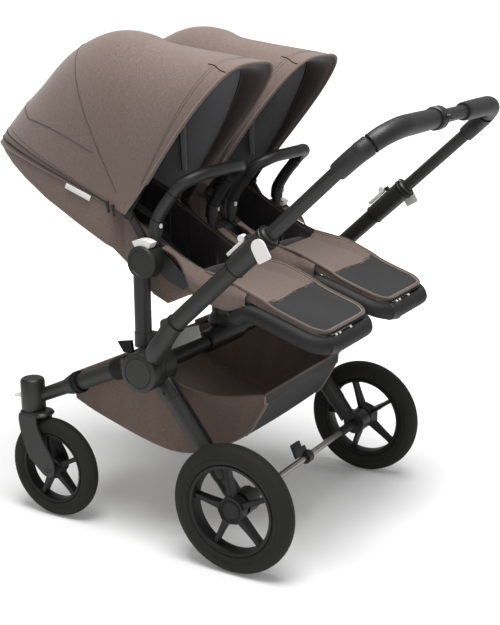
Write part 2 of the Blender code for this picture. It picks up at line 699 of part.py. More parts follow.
def build_fork(side, sign, carrier):
    """The swivelling fork, with a blade on each side of the wheel and a crown over it."""
    x = sign * FRONT_WHEEL_X
    top = CASTER_HOUSING_BOTTOM - RUN_GAP
    inner = FRONT_TYRE_WIDTH / 2 + FORK_CLEARANCE
    crown_bottom = FRONT_WHEEL_RADIUS * 2 + FORK_CLEARANCE - 0.006
    stem = rod("stem", (x, CASTER_Y, crown_bottom), (x, CASTER_Y, top),
               CASTER_HOUSING_RADIUS - 0.003, sides=20)
    axle = Vector((0, -WHEELBASE, FRONT_WHEEL_RADIUS))
    blades = []
    for face in (-1, 1):
        low = x + face * (inner + FORK_BLADE / 2) - FORK_BLADE / 2
        rings = []
        for edge in (low, low + FORK_BLADE):
            outline = [(CASTER_Y - 0.029, crown_bottom + 0.002), (CASTER_Y - 0.026, top - 0.004),
                       (CASTER_Y + 0.024, top - 0.004), (CASTER_Y + 0.030, crown_bottom - 0.002),
                       (CASTER_Y + 0.026, crown_bottom - 0.028), (axle.y + 0.012, axle.z + 0.020)]
            outline += [(axle.y + 0.015 * math.cos(angle), axle.z + 0.015 * math.sin(angle))
                        for angle in (math.radians(20 - 36 * k) for k in range(6))]
            outline += [(axle.y - 0.022, axle.z + 0.020), (CASTER_Y - 0.016, crown_bottom - 0.050)]
            rings.append([(edge, y, z) for y, z in outline])
        blades.append(loft("blade", rings))
    cheek = inner + FORK_BLADE
    crown = block("crown", (x - cheek, CASTER_Y - 0.022, crown_bottom + 0.0005),
                  (x + cheek, CASTER_Y + 0.022, top - 0.0045))
    fork = fuse(stem, crown, *blades)
    finish(fork, carrier, "frame_coat", f"caster_fork_{side}")


LOCK_BARREL = 0.005
LOCK_Z = CASTER_HOUSING_BOTTOM + 0.031


def build_swivel_lock(side, sign, carrier):
    """The small white lever on the front of the caster housing."""
    pivot = PIVOTS[carrier.name]
    half = 0.009
    barrel = rod("barrel", pivot - Vector((half, 0, 0)), pivot + Vector((half, 0, 0)), LOCK_BARREL,
                 sides=14)
    tab = block("tab", (-half + 0.001, -0.019, -0.0030), (half - 0.001, 0, 0.0030), bevel=0.0008)
    tab.data.transform(Matrix.Translation(pivot) @ Matrix.Rotation(math.radians(12), 4, "X"))
    finish(fuse(barrel, tab), carrier, "white_plastic", f"swivel_lock_{side}")


# Handle

def outer_point(sign, out):
    """A point on the hub's axis, out from the face that the hub cap sits on."""
    return Vector((sign * (HANDLE_RING_OUTER_X + out), HUB_Y, HUB_Z))


def build_handle_lower(side, sign, carrier):
    """The outer ring of the main hub, the elbow above it and the hollow lower tube."""
    inner, outer = sign * HANDLE_RING_INNER_X, sign * HANDLE_RING_OUTER_X
    wide, lip = HANDLE_RING_WIDTH, HUB_CAP_THICKNESS
    profile = [(0, 0), (HUB_RADIUS, 0), (HUB_RADIUS, wide), (HUB_RADIUS - 0.003, wide + lip),
               (0, wide + lip)]
    ring = turned("ring", profile, (inner, HUB_Y, HUB_Z), (outer - inner, 0, 0), 20)
    knee = handle_point(sign * HANDLE_X, 0)
    rise = Vector((0, knee.y - HUB_Y, knee.z - HUB_Z)).normalized()
    elbow_points = [(HANDLE_X - 0.014, 0.016), (HANDLE_X - 0.006, 0.034), (HANDLE_X, 0.052),
                    (HANDLE_X, 0.110)]
    points = [HUB + rise * far + Vector((sign * x, 0, 0)) for x, far in elbow_points]
    points += [handle_point(sign * HANDLE_X, -0.016, -0.001), handle_point(sign * HANDLE_X, 0.004)]
    elbow = tube("elbow", points, HANDLE_ELBOW_RADIUS, 3)
    mouth = CLAMP_END - CLAMP_LIP - FIT_GAP
    lower = rod("lower", handle_point(sign * HANDLE_X, 0.001), handle_point(sign * HANDLE_X, mouth),
                HANDLE_TUBE_RADIUS)
    bore = rod("bore", handle_point(sign * HANDLE_X, 0.006),
               handle_point(sign * HANDLE_X, mouth + 0.02), clear_of(HANDLE_BAR_RADIUS, 16))
    recess = rod("recess", outer_point(sign, 0.0), outer_point(sign, 0.03),
                 clear_of(HUB_CAP_RADIUS, 20), sides=20)
    lower = cut(fuse(ring, elbow, lower), bore, recess)
    finish(lower, carrier, "frame_coat", f"handle_lower_{side}")
    cap = turned(f"hub_cap_{side}", [(0, 0), (HUB_CAP_RADIUS, 0), (HUB_CAP_RADIUS, lip - 0.001),
                 (HUB_CAP_RADIUS - 0.001, lip), (0, lip)],
                 outer_point(sign, FIT_GAP), (sign, 0, 0), 20)
    finish(cap, carrier, "frame_coat")


D_BUTTON_AT = 0.306
D_BUTTON_ROUND_END = 0.008
D_BUTTON_SQUARE_END = -0.041
D_BUTTON_HALF_WIDTH = 0.0165
D_BUTTON_SLANT = math.radians(-14)
D_BUTTON_THICKNESS = 0.0045
D_BUTTON_TRAVEL = 0.0012
D_STEM_RADIUS = 0.0070
D_PAD_RADIUS = 0.0120
LEVER_HINGE_AT = 0.268
LEVER_HINGE_ABOVE = 0.0355
LEVER_START = 0.217
LEVER_HALF_WIDTH = 0.0075


def handle_turn():
    """Local X along the handle, Y across it and Z above it."""
    return Matrix((HANDLE_ALONG, Vector((1, 0, 0)), HANDLE_ABOVE)).transposed().to_4x4()


def clamp_frame(sign):
    """Local X across the handle, downwards, Y along it and Z out of the clamp's outer side."""
    out = Vector((sign, 0, 0))
    down = -(Matrix.Rotation(D_BUTTON_SLANT, 3, "X") @ HANDLE_ABOVE)
    turn = Matrix((down, out.cross(down), out)).transposed().to_4x4()
    return Matrix.Translation(handle_point(sign * HANDLE_X, D_BUTTON_AT)) @ turn


def d_outline():
    """A D: half round at its upper end and square at its lower end."""
    half, top, low = D_BUTTON_HALF_WIDTH, -D_BUTTON_ROUND_END, -D_BUTTON_SQUARE_END
    arc = [(top + half - half * math.sin(angle), -half * math.cos(angle))
           for angle in (math.pi * k / 10 for k in range(11))]
    return arc + [(low - 0.003, half), (low, half - 0.003), (low, 0.003 - half),
                  (low - 0.003, -half)]


def build_clamp(side, sign, carrier):
    """The telescope clamp at the top of the lower tube, with a bored pad for its button."""
    tube_fit = clear_of(HANDLE_TUBE_RADIUS, 16)
    bar_fit = clear_of(HANDLE_BAR_RADIUS, 16)
    low, high = CLAMP_START, CLAMP_END
    profile = [(CLAMP_RADIUS - 0.006, high), (CLAMP_RADIUS - 0.003, high - 0.004),
               (CLAMP_RADIUS - 0.003, high - 0.008), (CLAMP_RADIUS + 0.001, high - 0.011),
               (CLAMP_RADIUS, high - 0.020), (CLAMP_RADIUS - 0.001, low + 0.004),
               (tube_fit + 0.0025, low), (tube_fit, low),
               (tube_fit, high - CLAMP_LIP), (bar_fit, high - CLAMP_LIP), (bar_fit, high)]
    clamp = turned("clamp", profile, handle_point(sign * HANDLE_X, 0), HANDLE_ALONG, 16, True)
    place = clamp_frame(sign)
    pad_top = CLAMP_RADIUS + 0.0020
    pad = rod("pad", place @ Vector((0, 0, tube_fit + 0.0012)), place @ Vector((0, 0, pad_top)),
              D_PAD_RADIUS, sides=14)
    bore = rod("bore", place @ Vector((0, 0, pad_top - 0.0030)), place @ Vector((0, 0, 0.06)),
               clear_of(D_STEM_RADIUS, 12), sides=12)
    stop = block("stop", (LEVER_HINGE_AT + 0.0084, -0.0060, tube_fit + 0.001),
                 (LEVER_HINGE_AT + 0.0160, 0.0060, LEVER_HINGE_ABOVE - 0.0020))
    stop.data.transform(Matrix.Translation(handle_point(sign * HANDLE_X, 0)) @ handle_turn())
    finish(cut(fuse(clamp, pad, stop), bore), carrier, "frame_coat", f"handle_clamp_{side}")


def build_clamp_button(side, sign, carrier):
    """The white D-shaped button, with the stem that slides in the clamp's pad."""
    place = clamp_frame(sign)
    back = CLAMP_RADIUS + 0.0020 + D_BUTTON_TRAVEL + RUN_GAP
    button = plate("button", d_outline(), D_BUTTON_THICKNESS,
                   place @ Matrix.Translation((0, 0, back + D_BUTTON_THICKNESS / 2)))
    stem = rod("stem", place @ Vector((0, 0, back - 0.0030)), place @ Vector((0, 0, back + 0.001)),
               D_STEM_RADIUS, sides=12)
    finish(fuse(button, stem), carrier, "white_plastic", f"clamp_button_{side}")


def build_clamp_lever(side, sign, carrier):
    """The white lever that lies on the clamp and flips up about its upper end."""
    pivot = PIVOTS[carrier.name]
    half, drop = LEVER_HALF_WIDTH, LEVER_HINGE_ABOVE - CLAMP_RADIUS
    turn = handle_turn()
    low, high = 0.0012 - drop, -0.0020
    barrel = rod("barrel", pivot - Vector((half, 0, 0)), pivot + Vector((half, 0, 0)), 0.0078,
                 sides=16)
    arm = block("arm", (LEVER_START - LEVER_HINGE_AT, 0.0008 - half, low),
                (0, half - 0.0008, high), bevel=0.0008)
    arm.data.transform(Matrix.Translation(pivot) @ turn)
    finish(fuse(barrel, arm), carrier, "white_plastic", f"clamp_lever_{side}")


# The bar above its cuffs: (width from the middle, distance up the handle)
BAR_BEND = [(0.349, 0.535), (0.347, 0.560), (0.341, 0.586), (0.334, 0.601), (0.314, 0.626),
            (0.292, 0.638), (0.266, 0.646), (0.240, 0.650)]


def bar_route(low, high_x):
    """The handle bar's centre line, from a distance up the left tube, over to width high_x."""
    points = [] if low > BAR_BEND[0][1] else [handle_point(HANDLE_X, low)]
    for (x0, up0), (x1, up1) in zip(BAR_BEND, BAR_BEND[1:]):
        if up0 >= low:
            points.append(handle_point(x0, up0))
        elif up1 > low:
            share = (low - up0) / (up1 - up0)
            points.append(handle_point(x0 + (x1 - x0) * share, low))
    return points + [handle_point(BAR_BEND[-1][0], CROSSBAR_AT), handle_point(high_x, CROSSBAR_AT)]


def mirrored(points):
    return [Vector((-point.x, point.y, point.z)) for point in points]


def build_handle_upper(carrier):
    """The bent bar that slides in the clamps, its cuffs, its two grips and the middle ring."""
    half_route = bar_route(BAR_START, 0.0)[:-1]
    bar = tube("bar", half_route + mirrored(half_route)[::-1], HANDLE_BAR_RADIUS, 3)
    cuffs = []
    for sign in SIDES.values():
        cuffs.append(build_cuff(sign))
    finish(fuse(bar, *cuffs), carrier, "frame_coat", "handle_bar")
    bore = clear_of(HANDLE_BAR_RADIUS, 10)
    start = CUFF_END + 0.0006
    left = pipe("handle_grip_left", bar_route(start, GRIP_INNER_X), GRIP_RADIUS, bore, 3)
    finish(left, carrier, "grip_leather")
    right = pipe("handle_grip_right", mirrored(bar_route(start, -FAR_GRIP_X)), GRIP_RADIUS, bore, 3)
    finish(right, carrier, "grip_leather")
    high = GRIP_INNER_X - FIT_GAP
    fit = clear_of(bore, 16)
    profile = [(RING_RADIUS - 0.003, 0), (RING_RADIUS, -0.003), (RING_RADIUS, 0.003 - RING_WIDTH),
               (RING_RADIUS - 0.003, -RING_WIDTH), (fit, -RING_WIDTH), (fit, 0)]
    place = handle_point(high, CROSSBAR_AT)
    ring = turned("ring", profile, place, (1, 0, 0), 16, True)
    knob_run = (HANDLE_ALONG - HANDLE_ABOVE * 0.7).normalized()
    knob_start = place - Vector((RING_WIDTH * 0.6, 0, 0)) + knob_run * (RING_RADIUS - 0.004)
    knob = rod("knob", knob_start, knob_start + knob_run * 0.011, 0.007, 0.006, 12)
    finish(fuse(ring, knob), carrier, "black_plastic", "handle_ring")


def build_cuff(sign):
    """The widening cuff between the bar and the grip, which follows the bar's bend."""
    route = [handle_point(HANDLE_X, CUFF_START)] + bar_route(BAR_BEND[0][1], 0.0)[:3]
    seam, beyond = bar_route(CUFF_END, 0.0)[:2]
    route.append(seam)
    rings = []
    for index, point in enumerate(route):
        before, after = route[max(index - 1, 0)], (route + [beyond])[index + 1]
        if point == seam:
            before = seam
        run = (after - before).normalized()
        share = (point - route[0]).length / (seam - route[0]).length
        radius = CUFF_START_RADIUS + (CUFF_RADIUS - CUFF_START_RADIUS) * share
        side = HANDLE_ABOVE.cross(run).normalized()
        up = run.cross(side)
        rings.append([point + (side * math.cos(angle) + up * math.sin(angle)) * radius
                      for angle in (math.tau * k / 16 for k in range(16))])
    rings = [[Vector((sign * point.x, point.y, point.z)) for point in ring] for ring in rings]
    return loft("cuff", rings)


# Seats

# Centre lines of the arm and of the footrest tube, as (y, z)
SEAT_ARM = [(SEAT_HUB_Y, SEAT_HUB_Z), (-0.150, 0.655), (-0.085, 0.617), (-0.0303, 0.5720)]
FOOTREST_LINE = [(-0.030, 0.5720), (-0.012, 0.5830), (0.008, 0.5868), (0.040, 0.5790),
                 (0.100, 0.5594), (0.137, 0.5472), (0.187, 0.5303)]


def build_seat_frame(side, sign, carrier):
    """The hub discs, the arms to the footrest, the canopy brackets and the bar's sockets."""
    centre = sign * SEAT_CENTRE_X
    pieces = []
    for edge in (-1, 1):
        x = centre + edge * SEAT_RAIL_OFFSET
        pieces.append(rod("disc", (centre + edge * SEAT_DISC_INNER, SEAT_HUB_Y, SEAT_HUB_Z),
                          (centre + edge * SEAT_DISC_OUTER, SEAT_HUB_Y, SEAT_HUB_Z),
                          SEAT_DISC_RADIUS - 0.002, sides=20))
        pieces.append(tube("arm", [at(x, point) for point in SEAT_ARM], SEAT_RAIL_RADIUS, 2))
        stub_top = Vector((x, BUMPER_BASE[0], BUMPER_BASE[1] - FIT_GAP))
        pieces.append(rod("stub", stub_top - Vector((0, 0, 0.048)), stub_top, SEAT_RAIL_RADIUS,
                          sides=10))
        pieces.append(rod("socket", stub_top - Vector((0, 0, 0.012)), stub_top, SOCKET_RADIUS,
                          sides=12))
        pieces.append(bracket_plate(centre + edge * (BRACKET_OUTER - BRACKET_THICKNESS),
                                    centre + edge * BRACKET_OUTER))
    reach = SEAT_RAIL_OFFSET
    pieces.append(rod("cross_rail", at(centre - reach, SEAT_ARM[2]), at(centre + reach, SEAT_ARM[2]),
                      SEAT_CROSS_RADIUS, sides=8))
    finish(fuse(*pieces), carrier, "frame_coat", f"seat_frame_{side}")


def bracket_plate(x0, x1):
    """The flat lug from a hub disc up to the canopy's pivot, round at its upper end."""
    pivot = Vector((0, *CANOPY_PIVOT))
    root = Vector((0, SEAT_HUB_Y - 0.008, SEAT_HUB_Z + 0.014))
    run = (pivot - root).normalized()
    across = Vector((0, -run.z, run.y)) * BRACKET_WIDTH / 2
    outline = [root + across, root - across]
    outline += [pivot - across * math.cos(angle) + run * BRACKET_WIDTH / 2 * math.sin(angle)
                for angle in (math.pi * k / 6 for k in range(7))]
    return loft("bracket", [[Vector((x, point.y, point.z)) for point in outline]
                            for x in (x0, x1)])


# Seat tub, from the calf to the foot of the back, as rows of (underside y, underside z,
# rim y, rim z, width beyond the hips on each side, floor thickness)
HIP_ROWS = [(0.0405, 0.5995, 0.0405, 0.6125, 0.013, 0.0055),
            (0.010, 0.6080, 0.012, 0.6210, 0.013, 0.0090),
            (-0.030, 0.5965, -0.030, 0.6420, 0.012, 0.0300),
            (-0.050, 0.5885, -0.052, 0.6470, 0.0, 0.0420),
            (-0.095, 0.5970, -0.095, 0.6560, 0.0, 0.0480),
            (-0.1055, 0.5985, -0.1055, 0.6590, 0.0, 0.0490),
            (-0.1075, 0.5990, -0.1075, 0.6595, 0.0, 0.0050),
            (-0.146, 0.6040, -0.146, 0.6740, 0.0, 0.0050),
            (-0.200, 0.5900, -0.200, 0.7010, 0.0, 0.0050),
            (-0.226, 0.5720, -0.236, 0.7230, 0.0, 0.0050),
            (-0.258, 0.5860, -0.275, 0.7460, 0.0, 0.0050),
            (-0.300, 0.6220, -0.318, 0.7700, 0.0, 0.0050),
            (-0.331, 0.6520, -0.3335, 0.7850, 0.0, 0.0050)]
INLAY_FROM = 6
# Back of the tub, as rows of (underside y, underside z, rim's distance from the canopy pivot)
BACK_ROWS = [(-0.356, 0.6900, 0.0430), (-0.380, 0.6990, 0.0750), (-0.450, 0.7380, 0.1500),
             (-0.540, 0.7890, 0.2450), (-0.610, 0.8310, 0.3200), (-0.655, 0.8600, 0.3700),
             (-0.686, 0.8820, 0.4040), (-0.706, 0.8965, 0.4260), (-0.712, 0.9010, 0.4320)]
RIM_GAP = 0.0014


def canopy_half(far):
    """The canopy's half width at a distance from its pivot: it flares out above its feet."""
    share = max(0.0, min(1.0, (far - CANOPY_LEG) / CANOPY_FLARE))
    ease = share * share * (3 - 2 * share)
    return CANOPY_FOOT_HALF_WIDTH + (CANOPY_HALF_WIDTH - CANOPY_FOOT_HALF_WIDTH) * ease


def canopy_dip(angle, rise):
    """How far the canopy's rear hem sags below its plane, in degrees."""
    return CANOPY_DIP * max(0.0, (angle - 145) / 13) * rise ** 2


def back_row(y, z, far):
    """A row of the tub whose rim follows the canopy's rear hem."""
    angle, reach, fullness = CANOPY_ROWS[-1]
    rise = min(1.0, max(0.0, (far - CANOPY_LEG) / (reach - CANOPY_LEG)))
    half = canopy_half(far) * (1 - rise ** fullness) ** (1 / fullness) - RIM_GAP
    tilt = math.radians(angle + canopy_dip(angle, rise))
    rim_y = CANOPY_PIVOT[0] + far * math.cos(tilt) - RIM_GAP * math.sin(tilt)
    rim_z = CANOPY_PIVOT[1] + far * math.sin(tilt) + RIM_GAP * math.cos(tilt)
    return (y, z, rim_y, rim_z, half, SHELL_WALL)


def hip_rows():
    """The rows of the tub's hips with their whole half width."""
    return [(*row[:4], SEAT_HIP_HALF_WIDTH + row[4], row[5]) for row in HIP_ROWS]


def seat_ring(sign, row, outline):
    """One section of a seat piece: outline gives (across, height above the underside)."""
    low, rim = Vector((0, row[0], row[1])), Vector((0, row[2], row[3]))
    up = (rim - low).normalized()
    ring = [low + up * v + Vector((sign * SEAT_CENTRE_X + u, 0, 0)) for u, v in outline]
    return ring


def wall_height(row):
    return math.hypot(row[2] - row[0], row[3] - row[1])


def build_seat_shell(side, sign, carrier):
    """The fabric tub of the seat: padded under the calf, a deep trough behind it."""
    rows = hip_rows() + [back_row(*row) for row in BACK_ROWS]
    rings = []
    for index, row in enumerate(rows):
        half, wall = row[4], wall_height(row)
        corner = min(0.016, wall * 0.4)
        pad = wall - 0.0008 if index >= len(rows) - 2 else row[5]
        thin = min(SHELL_WALL, half * 0.3)
        shelf = max(pad, min(corner + SHELL_WALL * 0.6, wall - 0.0004))
        outer = [(half, wall), (half, corner), (half - corner, 0)]
        inner = [(half - thin, wall), (half - thin, shelf), (half - max(corner, thin + 0.002), pad)]
        outline = outer + [(-u, v) for u, v in reversed(outer)]
        outline += [(-u, v) for u, v in inner] + list(reversed(inner))
        rings.append(seat_ring(sign, row, outline))
    centre, reach = sign * SEAT_CENTRE_X, SEAT_RAIL_OFFSET
    sleeve = rod("sleeve", at(centre - reach, SEAT_ARM[2]), at(centre + reach, SEAT_ARM[2]),
                 clear_of(SEAT_CROSS_RADIUS, 8), sides=8)
    shell = cut(loft("shell", rings), sleeve)
    finish(shell, carrier, "outer_fabric", f"seat_shell_{side}", sharp=50)


INLAY_LONG_ROW = 0.060
INLAY_PANELS = 6
INLAY_PAN = 0.040
INLAY_BACK = 0.022


def split_long_rows(rows):
    """The rows with one more halfway wherever two lie far apart."""
    result = [rows[0]]
    for before, after in zip(rows, rows[1:]):
        if math.hypot(after[0] - before[0], after[1] - before[1]) > INLAY_LONG_ROW:
            result.append([(a + b) / 2 for a, b in zip(before, after)])
        result.append(after)
    return result


def build_inlay(side, sign, carrier):
    """The padded liner: a crowned cushion with sewn cross channels and a wing on each side."""
    rows = hip_rows()[INLAY_FROM:] + [back_row(*row) for row in BACK_ROWS[:-2]]
    first = rows[0]
    rows[0] = (first[0] - 0.0008, *first[1:])
    rows = split_long_rows(rows)
    last = len(rows) - 1
    rings = []
    for step, row in enumerate(rows):
        done = step / last
        puff = abs(math.sin(math.pi * (done * INLAY_PANELS))) ** 0.6
        end = min(1.0, step / 1.5 + 0.55, (last - step) / 1.5 + 0.55)
        floor, wall = SHELL_WALL + INLAY_GAP, wall_height(row)
        wide = row[4] - SHELL_WALL - INLAY_GAP
        corner = min(0.016, wall * 0.4)
        deep = INLAY_PAN + (INLAY_BACK - INLAY_PAN) * min(1.0, max(0.0, (done - 0.15) / 0.3))
        thick = min(deep * (0.80 + 0.20 * puff) * end, wall - floor - 0.004)
        high = wall - 0.0015
        wing = INLAY_WING * (0.75 + 0.25 * puff)
        crown = floor + thick
        half_outline = [(0, floor), (wide - corner, floor), (wide, floor + corner),
                        (wide, high - 0.002), (wide - 0.003, high),
                        (wide - wing, max(high - 0.004, crown + 0.0004)),
                        (wide - wing - 0.010, crown - 0.0030), (wide * 0.45, crown), (0, crown)]
        outline = half_outline + [(-u, v) for u, v in reversed(half_outline[1:-1])]
        rings.append(seat_ring(sign, row, outline))
    finish(loft(f"seat_inlay_{side}", rings), carrier, "inlay_fabric", sharp=60)


def build_footrest(side, sign, carrier):
    """The padded footrest tube, and the calf panel that lies on it."""
    centre = sign * SEAT_CENTRE_X
    half = [at(FOOTREST_OFFSET, point) for point in FOOTREST_LINE[:-1]]
    half[0].x = SEAT_RAIL_OFFSET
    turn_start, end = Vector((0, *FOOTREST_LINE[-2])), Vector((0, *FOOTREST_LINE[-1]))
    for step in range(1, 6):
        angle = math.pi / 2 * step / 5
        point = turn_start.lerp(end, math.sin(angle))
        point.x = FOOTREST_OFFSET - FOOTREST_CORNER * (1 - math.cos(angle))
        half.append(point)
    whole = [point + Vector((centre, 0, 0)) for point in half + mirrored(half)[::-1]]
    loop = tube("loop", whole, FOOTREST_TUBE_RADIUS, 2)
    mouths = []
    for edge in (-1, 1):
        x = centre + edge * SEAT_RAIL_OFFSET
        start, end = at(x, SEAT_ARM[-2]), at(x, SEAT_ARM[-1])
        mouths.append(rod("mouth", start, along(start, end, (end - start).length + FIT_GAP),
                          clear_of(SEAT_RAIL_RADIUS, 8), sides=8))
    finish(cut(loop, *mouths), carrier, "padded_sleeve", f"footrest_tube_{side}")
    far, wide, corner = PANEL_LENGTH, PANEL_HALF_WIDTH, PANEL_CORNER
    arc = [(far - corner * (1 - math.sin(angle)), wide - corner * (1 - math.cos(angle)))
           for angle in (math.pi / 2 * k / 5 for k in range(6))]
    outline = [(0, -wide), (0, wide)] + arc + [(x, -y) for x, y in reversed(arc)]
    slope = Vector((0, math.cos(PANEL_SLOPE), math.sin(PANEL_SLOPE)))
    normal = Vector((0, -slope.z, slope.y))
    turn = Matrix((slope, normal.cross(slope), normal)).transposed().to_4x4()
    place = Matrix.Translation(at(centre, PANEL_START) + normal * PANEL_THICKNESS / 2) @ turn
    panel = plate(f"footrest_panel_{side}", outline, PANEL_THICKNESS, place)
    finish(panel, carrier, "footrest_vinyl")


# Canopy: rows of (angle from +Y about the pivot, reach of the ridge, fullness of the arch)
CANOPY_ROWS = [(51, 0.430, 3.8), (60, 0.400, 3.5), (70, 0.380, 3.0), (80, 0.373, 2.7),
               (87, 0.377, 2.6), (93, 0.392, 2.6), (103, 0.408, 2.6), (118, 0.408, 2.6),
               (136, 0.403, 2.6), (147, 0.420, 2.6), (158, 0.456, 2.6)]
CANOPY_DIP = 5.0


def canopy_row(angle):
    """The canopy's row at any angle between two of those listed."""
    for lower, upper in zip(CANOPY_ROWS, CANOPY_ROWS[1:]):
        if angle <= upper[0]:
            share = (angle - lower[0]) / (upper[0] - lower[0])
            return tuple(a + (b - a) * share for a, b in zip(lower, upper))
    return CANOPY_ROWS[-1]


def canopy_point(row, arc, inset):
    """A point of the canopy's sheet: arc runs from 0 at one foot over the top to 1."""
    angle, reach, fullness = row
    turn = math.pi * arc
    power = 2.0 / fullness
    side = math.copysign(abs(math.cos(turn)) ** power, math.cos(turn))
    rise = abs(math.sin(turn)) ** power
    far = CANOPY_LEG + (reach - inset - CANOPY_LEG) * rise
    wide = (canopy_half(far) - inset) * side
    tilt = math.radians(angle + canopy_dip(angle, rise))
    return Vector((wide, CANOPY_PIVOT[0] + far * math.cos(tilt),
                   CANOPY_PIVOT[1] + far * math.sin(tilt)))


def build_canopy(side, sign, carrier):
    """The hood's fabric as one curved sheet, open at the front and underneath."""
    centre = Vector((sign * SEAT_CENTRE_X, 0, 0))
    rings = []
    for row in CANOPY_ROWS:
        outer = [canopy_point(row, k / CANOPY_STEPS, 0) for k in range(CANOPY_STEPS + 1)]
        inner = [canopy_point(row, k / CANOPY_STEPS, CANOPY_SHEET) for k in range(CANOPY_STEPS + 1)]
        rings.append([point + centre for point in outer + inner[::-1]])
    finish(loft(f"canopy_{side}", rings), carrier, "outer_fabric", sharp=60)


BOW_ANGLE = 56


def build_canopy_bow(side, sign, carrier):
    """The flat bow that lifts the hood's front edge, with a disc at each pivot."""
    centre = at(sign * SEAT_CENTRE_X, CANOPY_PIVOT)
    angle, reach, fullness = canopy_row(BOW_ANGLE)
    row = (angle, reach - BOW_TOP_GAP, fullness)
    inset = CANOPY_SHEET + BOW_GAP
    tilt = math.radians(BOW_ANGLE)
    half = Vector((0, -math.sin(tilt), math.cos(tilt))) * BOW_WIDTH / 2
    outside = CANOPY_FOOT_HALF_WIDTH - inset
    edges = []
    for k in range(CANOPY_STEPS + 1):
        arc = k / CANOPY_STEPS
        edges.append((canopy_point(row, arc, inset) + Vector((sign * SEAT_CENTRE_X, 0, 0)),
                      canopy_point(row, arc, inset + BOW_THICKNESS)
                      + Vector((sign * SEAT_CENTRE_X, 0, 0))))
    for edge, place in ((1, 0), (-1, len(edges) + 1)):
        foot = centre + Vector((edge * outside, 0, 0))
        edges.insert(place, (foot, foot - Vector((edge * BOW_THICKNESS, 0, 0))))
    bow = loft("bow", [[outer - half, outer + half, inner + half, inner - half]
                       for outer, inner in edges])
    discs = []
    for edge in (-1, 1):
        face = edge * (BRACKET_OUTER + RUN_GAP)
        discs.append(rod("disc", centre + Vector((face, 0, 0)),
                         centre + Vector((edge * (outside - 0.0006), 0, 0)), 0.013, sides=16))
    finish(fuse(bow, *discs), carrier, "black_plastic", f"canopy_bow_{side}", sharp=50)


def build_bumper(side, sign, carrier):
    """The bar in front of the child, with a plain sleeve at each end."""
    centre = sign * SEAT_CENTRE_X
    base, top = Vector((0, *BUMPER_BASE)), Vector((0, *BUMPER_TOP))
    half = [(SEAT_RAIL_OFFSET, base.y, base.z), (SEAT_RAIL_OFFSET, base.y, base.z + 0.028),
            (SEAT_RAIL_OFFSET + 0.002, base.y + 0.014, base.z + 0.062),
            (SEAT_RAIL_OFFSET + 0.003, base.y + 0.040, base.z + 0.094),
            (SEAT_RAIL_OFFSET, top.y - 0.038, top.z - 0.024),
            (SEAT_RAIL_OFFSET * 0.88, top.y - 0.018, top.z - 0.010),
            (SEAT_RAIL_OFFSET * 0.62, top.y - 0.004, top.z - 0.001),
            (SEAT_RAIL_OFFSET * 0.30, top.y, top.z)]
    half = [Vector(point) for point in half]
    whole = [point + Vector((centre, 0, 0)) for point in half + mirrored(half)[::-1]]
    pieces = [tube("bar", whole, BUMPER_RADIUS, 2)]
    for edge in (-1, 1):
        x = centre + edge * SEAT_RAIL_OFFSET
        pieces.append(rod("sleeve", (x, base.y, base.z), (x, base.y, base.z + 0.028),
                          BUMPER_SLEEVE_RADIUS, sides=12))
    finish(fuse(*pieces), carrier, "grip_leather", f"bumper_bar_{side}")


def build_release_button(side, sign, carrier):
    button = arc_band(f"seat_button_{side}", sign, BUTTON_INNER, BUTTON_OUTER, BUTTON_HALF_ANGLE,
                      BUTTON_MARGIN)
    finish(button, carrier, "white_plastic")


